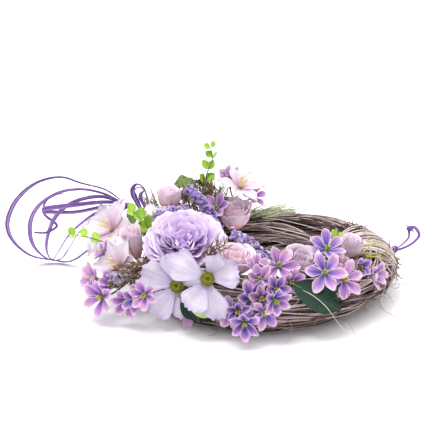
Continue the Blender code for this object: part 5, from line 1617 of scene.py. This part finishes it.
# %% Raffia bow, standing loop and hanging loop
RAFFIA_KNOT = np.array([-160.0, 42.0, 84.0])
RAFFIA_WIDTH, TAIL_WIDTH, RAFFIA_FLATNESS = 5.0, 2.6, 0.16
RAFFIA_LOOPS = [
    [(-183, 40, 103), (-210, 36, 112), (-233, 36, 119), (-261, 41, 111), (-285, 47, 89),
     (-298, 55, 60), (-295, 65, 35), (-277, 74, 13), (-253, 82, 4), (-232, 76, 4),
     (-211, 64, 20), (-186, 50, 48)],
    [(-186, 36, 100), (-210, 32, 106), (-235, 32, 102), (-259, 38, 85), (-271, 47, 60),
     (-271, 62, 30), (-258, 76, 8), (-243, 80, 5), (-230, 66, 24), (-215, 50, 50),
     (-190, 44, 72)],
    [(-187, 34, 97), (-215, 28, 94), (-237, 34, 77), (-250, 48, 51), (-256, 64, 24),
     (-252, 76, 6), (-244, 70, 17), (-228, 56, 44), (-202, 44, 70), (-182, 40, 80)],
    [(-184, 30, 92), (-221, 24, 90), (-248, 26, 86), (-254, 30, 82), (-245, 34, 79),
     (-217, 34, 79), (-184, 38, 84)],
]
RAFFIA_TAIL = [(-184, 38, 95), (-206, 38, 98), (-231, 40, 99), (-250, 42, 90), (-254, 44, 74),
               (-240, 44, 60), (-252, 42, 52), (-266, 42, 52)]
STANDING_LOOP = [(-138, 50, 64), (-148, 54, 83), (-154, 57, 97), (-149, 60, 104),
                 (-141, 62, 98), (-137, 58, 84), (-134, 54, 64)]
BAND_ANGLE, BAND_OUT = 11.0, 4.0
HANGER_KNOT = (142.5, 24.0, 38.0)
HANGER_LOOP = [(149, 22, 43), (157, 20, 53), (158, 20, 64), (164, 20, 65), (169, 20, 56),
               (161, 20, 46), (149, 22, 39)]


def raffia(strands, path, steps, width, twist, tone):
    """A strip along a path: its width lies to the back at first, is carried along, and is
    turned by a twist that changes evenly from one end to the other."""
    path = smooth(path, steps)
    across, flats = np.array([0.0, 1.0, 0.0]), []
    for k, along in enumerate(unit(np.gradient(path, axis=0))):
        across = unit(across - along * (across @ along))
        turn = math.radians(twist[0] + (twist[1] - twist[0]) * k / (steps - 1))
        flats.append(across * math.cos(turn) + np.cross(along, across) * math.sin(turn))
    swell = 1 + 0.16 * np.sin(np.linspace(0, 9, steps) + tone * 20)
    strands.add(path, width / 2 * swell, tone, flats)


def knot(heap, place, look, profile):
    add_turned(heap, profile, 14, place, axes_of(look), DYED_RAFFIA, 0.3)


print("the longest loop has", len(RAFFIA_LOOPS[0]), "points")

# %% The bow
bow, strips = Heap(), Strands()
for k, loop in enumerate(RAFFIA_LOOPS):
    start = RAFFIA_KNOT + (-1, 1 - 0.6 * k, 2.2)
    end = RAFFIA_KNOT + (-1, 0.6 * k - 1, -2.2)
    raffia(strips, [start, *loop, end], 110, RAFFIA_WIDTH, (25 * k, 25 * k + 140), 0.25 + 0.2 * k)
    beside = [np.array(p) + (0.6, -1.0, 1.1) for p in loop]
    raffia(strips, [start, *beside, end], 110, RAFFIA_WIDTH * 0.6, (25 * k + 20, 25 * k + 170),
           0.7 - 0.15 * k)
raffia(strips, [RAFFIA_KNOT + (1.5, 0, 0), *RAFFIA_TAIL], 80, TAIL_WIDTH, (0, 90), 0.4)
strips.add(stem_path(RAFFIA_KNOT, (1, 0, -0.5)), 1.2)
strips.into(bow, DYED_RAFFIA, sides=10, flatness=RAFFIA_FLATNESS, knobble=0.3, knobble_length=3.0)
ties = Strands()
for k in range(5):  # five turns of strip tie the knot
    turn = np.linspace(0, 2 * math.pi * 1.1, 16)
    around = np.stack([np.linspace(-2.5, 2.5, 16) + k * 0.6 - 1.2, 3.4 * np.cos(turn + k),
                       3.4 * np.sin(turn + k)], axis=-1)
    ties.add(around + RAFFIA_KNOT, 1.5, 0.3 + 0.1 * k, np.tile((1.0, 0, 0), (16, 1)))
ties.into(bow, DYED_RAFFIA, sides=8, flatness=0.4)
knot(bow, RAFFIA_KNOT, (1, 0, 0.3), [(0, -6), (2.4, -4), (3.2, -2), (3.2, 2), (2.4, 4), (0, 6)])
bow.piece("raffia_bow_strips", "raffia", "raffia_bow")

# %% The standing loop
standing, strips = Heap(), Strands()
foot = seat(STANDING_LOOP[0])
raffia(strips, [foot, *STANDING_LOOP, foot], 70, np.interp(np.arange(70), (0, 22, 36, 55, 69), (
    3.0, 6.5, 1.6, 3.4, 2.0)), (80, 100), 0.2)
raffia(strips, [foot, *[np.array(p) + (1.5, -2, -3) for p in STANDING_LOOP], foot], 70, 2.2,
       (60, 110), 0.6)
raffia(strips, [foot, *[np.array(p) + (9, -2, -6) for p in STANDING_LOOP[1:4]]], 30,
       np.interp(np.arange(30), (0, 18, 29), (2.0, 5.0, 1.2)), (80, 100), 0.35)
strips.into(standing, DYED_RAFFIA, sides=10, flatness=RAFFIA_FLATNESS, knobble=0.3,
            knobble_length=3.0)
standing.piece("raffia_standing_loop", "raffia", "raffia_loop")

# %% The hanging loop
hanger, strips = Heap(), Strands()
band = bundle_point(BAND_ANGLE, np.linspace(-30, 205, 30), BAND_OUT)
strips.add(band, 1.9, 0.5, np.tile(tangent_at(BAND_ANGLE), (30, 1)))
raffia(strips, [HANGER_KNOT, *HANGER_LOOP, HANGER_KNOT], 60, 3.2, (0, 160), 0.5)
for tip, tone in (((6, 0, 3), 0.4), ((-4, 0, 4), 0.6), ((5, -1, -3), 0.5)):
    top = np.array(HANGER_LOOP[2], float)
    raffia(strips, [top, top + np.array(tip) * 0.6, top + tip], 8, 2.2, (0, 60), tone)
strips.into(hanger, DYED_RAFFIA, sides=10, flatness=0.22, knobble=0.3, knobble_length=3.0)
knot(hanger, HANGER_KNOT, (0.5, 0, 1),
     [(0, -5), (3, -3.6), (4.3, -1.2), (4, 1.6), (2.6, 4), (0, 5)])
knot(hanger, HANGER_LOOP[2], (1, 0, 0), [(0, -4), (2.4, -2.4), (3.6, 0), (2.4, 2.4), (0, 4)])
hanger.piece("raffia_hanging_loop", "raffia", "raffia_hanger")

# %% [markdown]
# ## Small things between the flowers
# A feathery sprig, a tuft of hay grass, four yellow-green strands over the binding and two thin
# stray rods by the big leaf. None has a solid of its own: they are too thin to matter in play,
# and each starts in the ring.

# %% Sprig, grass and stray strands
draw = np.random.default_rng(77)
small, feather, grass, shoots, stray = Heap(), Strands(), Strands(), Strands(), Strands()
for root, tip in (((-30, -108, 50), (-22, -130, 60)), ((-24, -106, 52), (-10, -122, 62)),
                  ((-28, -104, 52), (-6, -112, 70))):
    line = smooth([seat(root), np.array(root, float), np.array(tip, float)], 24)
    feather.add(line, np.linspace(0.6, 0.3, 24), 0.5)
    heading = unit(np.array(tip, float) - root)
    for k in range(5, 24):
        for side in (-1, 1):
            away = unit(np.cross(heading, (0, 0.6, 1)) * side + heading * 0.9
                        + draw.normal(0, 0.2, 3))
            end = line[k] + away * draw.uniform(3, 6)
            feather.add([line[k], (line[k] + end) / 2 + (0, 0, 0.4), end], [0.4, 0.42, 0.15],
                        draw.uniform(0, 1))
for k in range(90):
    root = bundle_point(draw.uniform(84, 104), draw.uniform(60, 110), -2)
    reach = draw.uniform(16, 46)
    heading = unit((1.0, draw.uniform(-0.25, 0.25), draw.uniform(0.05, 0.42)))
    end = root + heading * reach
    grass.add(smooth([root, (root + end) / 2 + (0, 0, draw.uniform(0.5, 3)), end], 7),
              np.linspace(0.55, 0.15, 7), draw.uniform(0, 1))
for low, high in (((-22, 110), (8, 86)), ((-21, 104), (4, 70)), ((-24, 92), (-12, 55)),
                  ((-25, 90), (-20, 52))):
    start, end = bundle_point(*low, 3.6), bundle_point(*high, 4.8)
    middle = (start + end) / 2
    shoots.add(smooth([start, middle + unit(middle - (92, -30, 26)) * 2.2, end], 12),
               np.linspace(0.8, 0.5, 12), draw.uniform(0.3, 1))
for points in ([(24, -128, 50), (36, -146, 51), (50, -155, 42), (62, -158, 26), (70, -156, 16)],
               [(8, -120, 40), (16, -138, 34), (26, -142, 46)]):
    stray.add(smooth(points, 20), np.linspace(0.34, 0.22, 20), 0.9)
feather.into(small, LIGHT_LEAF, sides=4)
grass.into(small, DRIED_GRASS, sides=4, flatness=0.5)
shoots.into(small, DIPPED_STAMEN, sides=5)
stray.into(small, WILLOW_SPLIT, sides=5, knobble=0.4, knobble_length=4.0)
small.piece("sprig_grass_and_shoots", "green_leaf")

# %% [markdown]
# ## Floor and light
# The photograph was lit softly from all sides on white paper. Here a lamp nine metres wide
# serves as a ceiling of light, a small one overhead gives the petals some shape, and an even
# white sky fills the shadow round the foot.

# %% Floor
floor_mesh = bpy.data.meshes.new("floor")
floor_mesh.from_pydata([(-6, -6, 0), (6, -6, 0), (6, 6, 0), (-6, 6, 0)], [], [(0, 1, 2, 3)])
floor = bpy.data.objects.new("floor", floor_mesh)
bpy.context.scene.collection.objects.link(floor)
# Matt white paper, a sweep under and behind the object
paper, paper_tree, paper_shader = shader_of("paper, matt white")
fibres = add(paper_tree, "ShaderNodeTexNoise", {}, {
    "Vector": add(paper_tree, "ShaderNodeTexCoord").outputs["Object"], "Scale": 900.0})
paper_tree.links.new(ramp(paper_tree, fibres.outputs[0], ((0.3, "#f6f4f8"), (0.7, "#fbfafc"))),
                     paper_shader.inputs["Base Color"])
paper_shader.inputs["Roughness"].default_value = 0.9
floor_mesh.materials.append(paper)


print("floor:", fibres.name, "on", paper.name)


# %% Lamps and sky
def soft_lamp(name, place, size, power, colour, target):
    lamp = bpy.data.lights.new(name, "AREA")
    lamp.shape, lamp.size, lamp.energy, lamp.color = "DISK", size, power, colour
    obj = bpy.data.objects.new(name, lamp)
    obj.location = place
    away = unit(np.array(place) - target)
    obj.rotation_euler = (math.acos(away[2]), 0, math.atan2(away[0], -away[1]))
    bpy.context.scene.collection.objects.link(obj)


soft_lamp("ceiling", (0.0, 1.0, 4.0), 9.0, 290, (1.0, 1.0, 1.0), (0.0, 1.0, 0.0))
soft_lamp("overhead", (-0.3, -0.5, 1.5), 0.5, 8, (1.0, 0.99, 0.98), (0.0, 0.0, 0.04))
sky = bpy.data.worlds.new("sky")
bpy.context.scene.world = sky
sky.use_nodes = True
background = sky.node_tree.nodes["Background"]
background.inputs["Color"].default_value = (1, 1, 1, 1)
background.inputs["Strength"].default_value = 0.86
# The plain sRGB look keeps the dyes as bright as the hex colours above say
bpy.context.scene.view_settings.view_transform = "Standard"
print(len(bpy.data.lights), "lamps")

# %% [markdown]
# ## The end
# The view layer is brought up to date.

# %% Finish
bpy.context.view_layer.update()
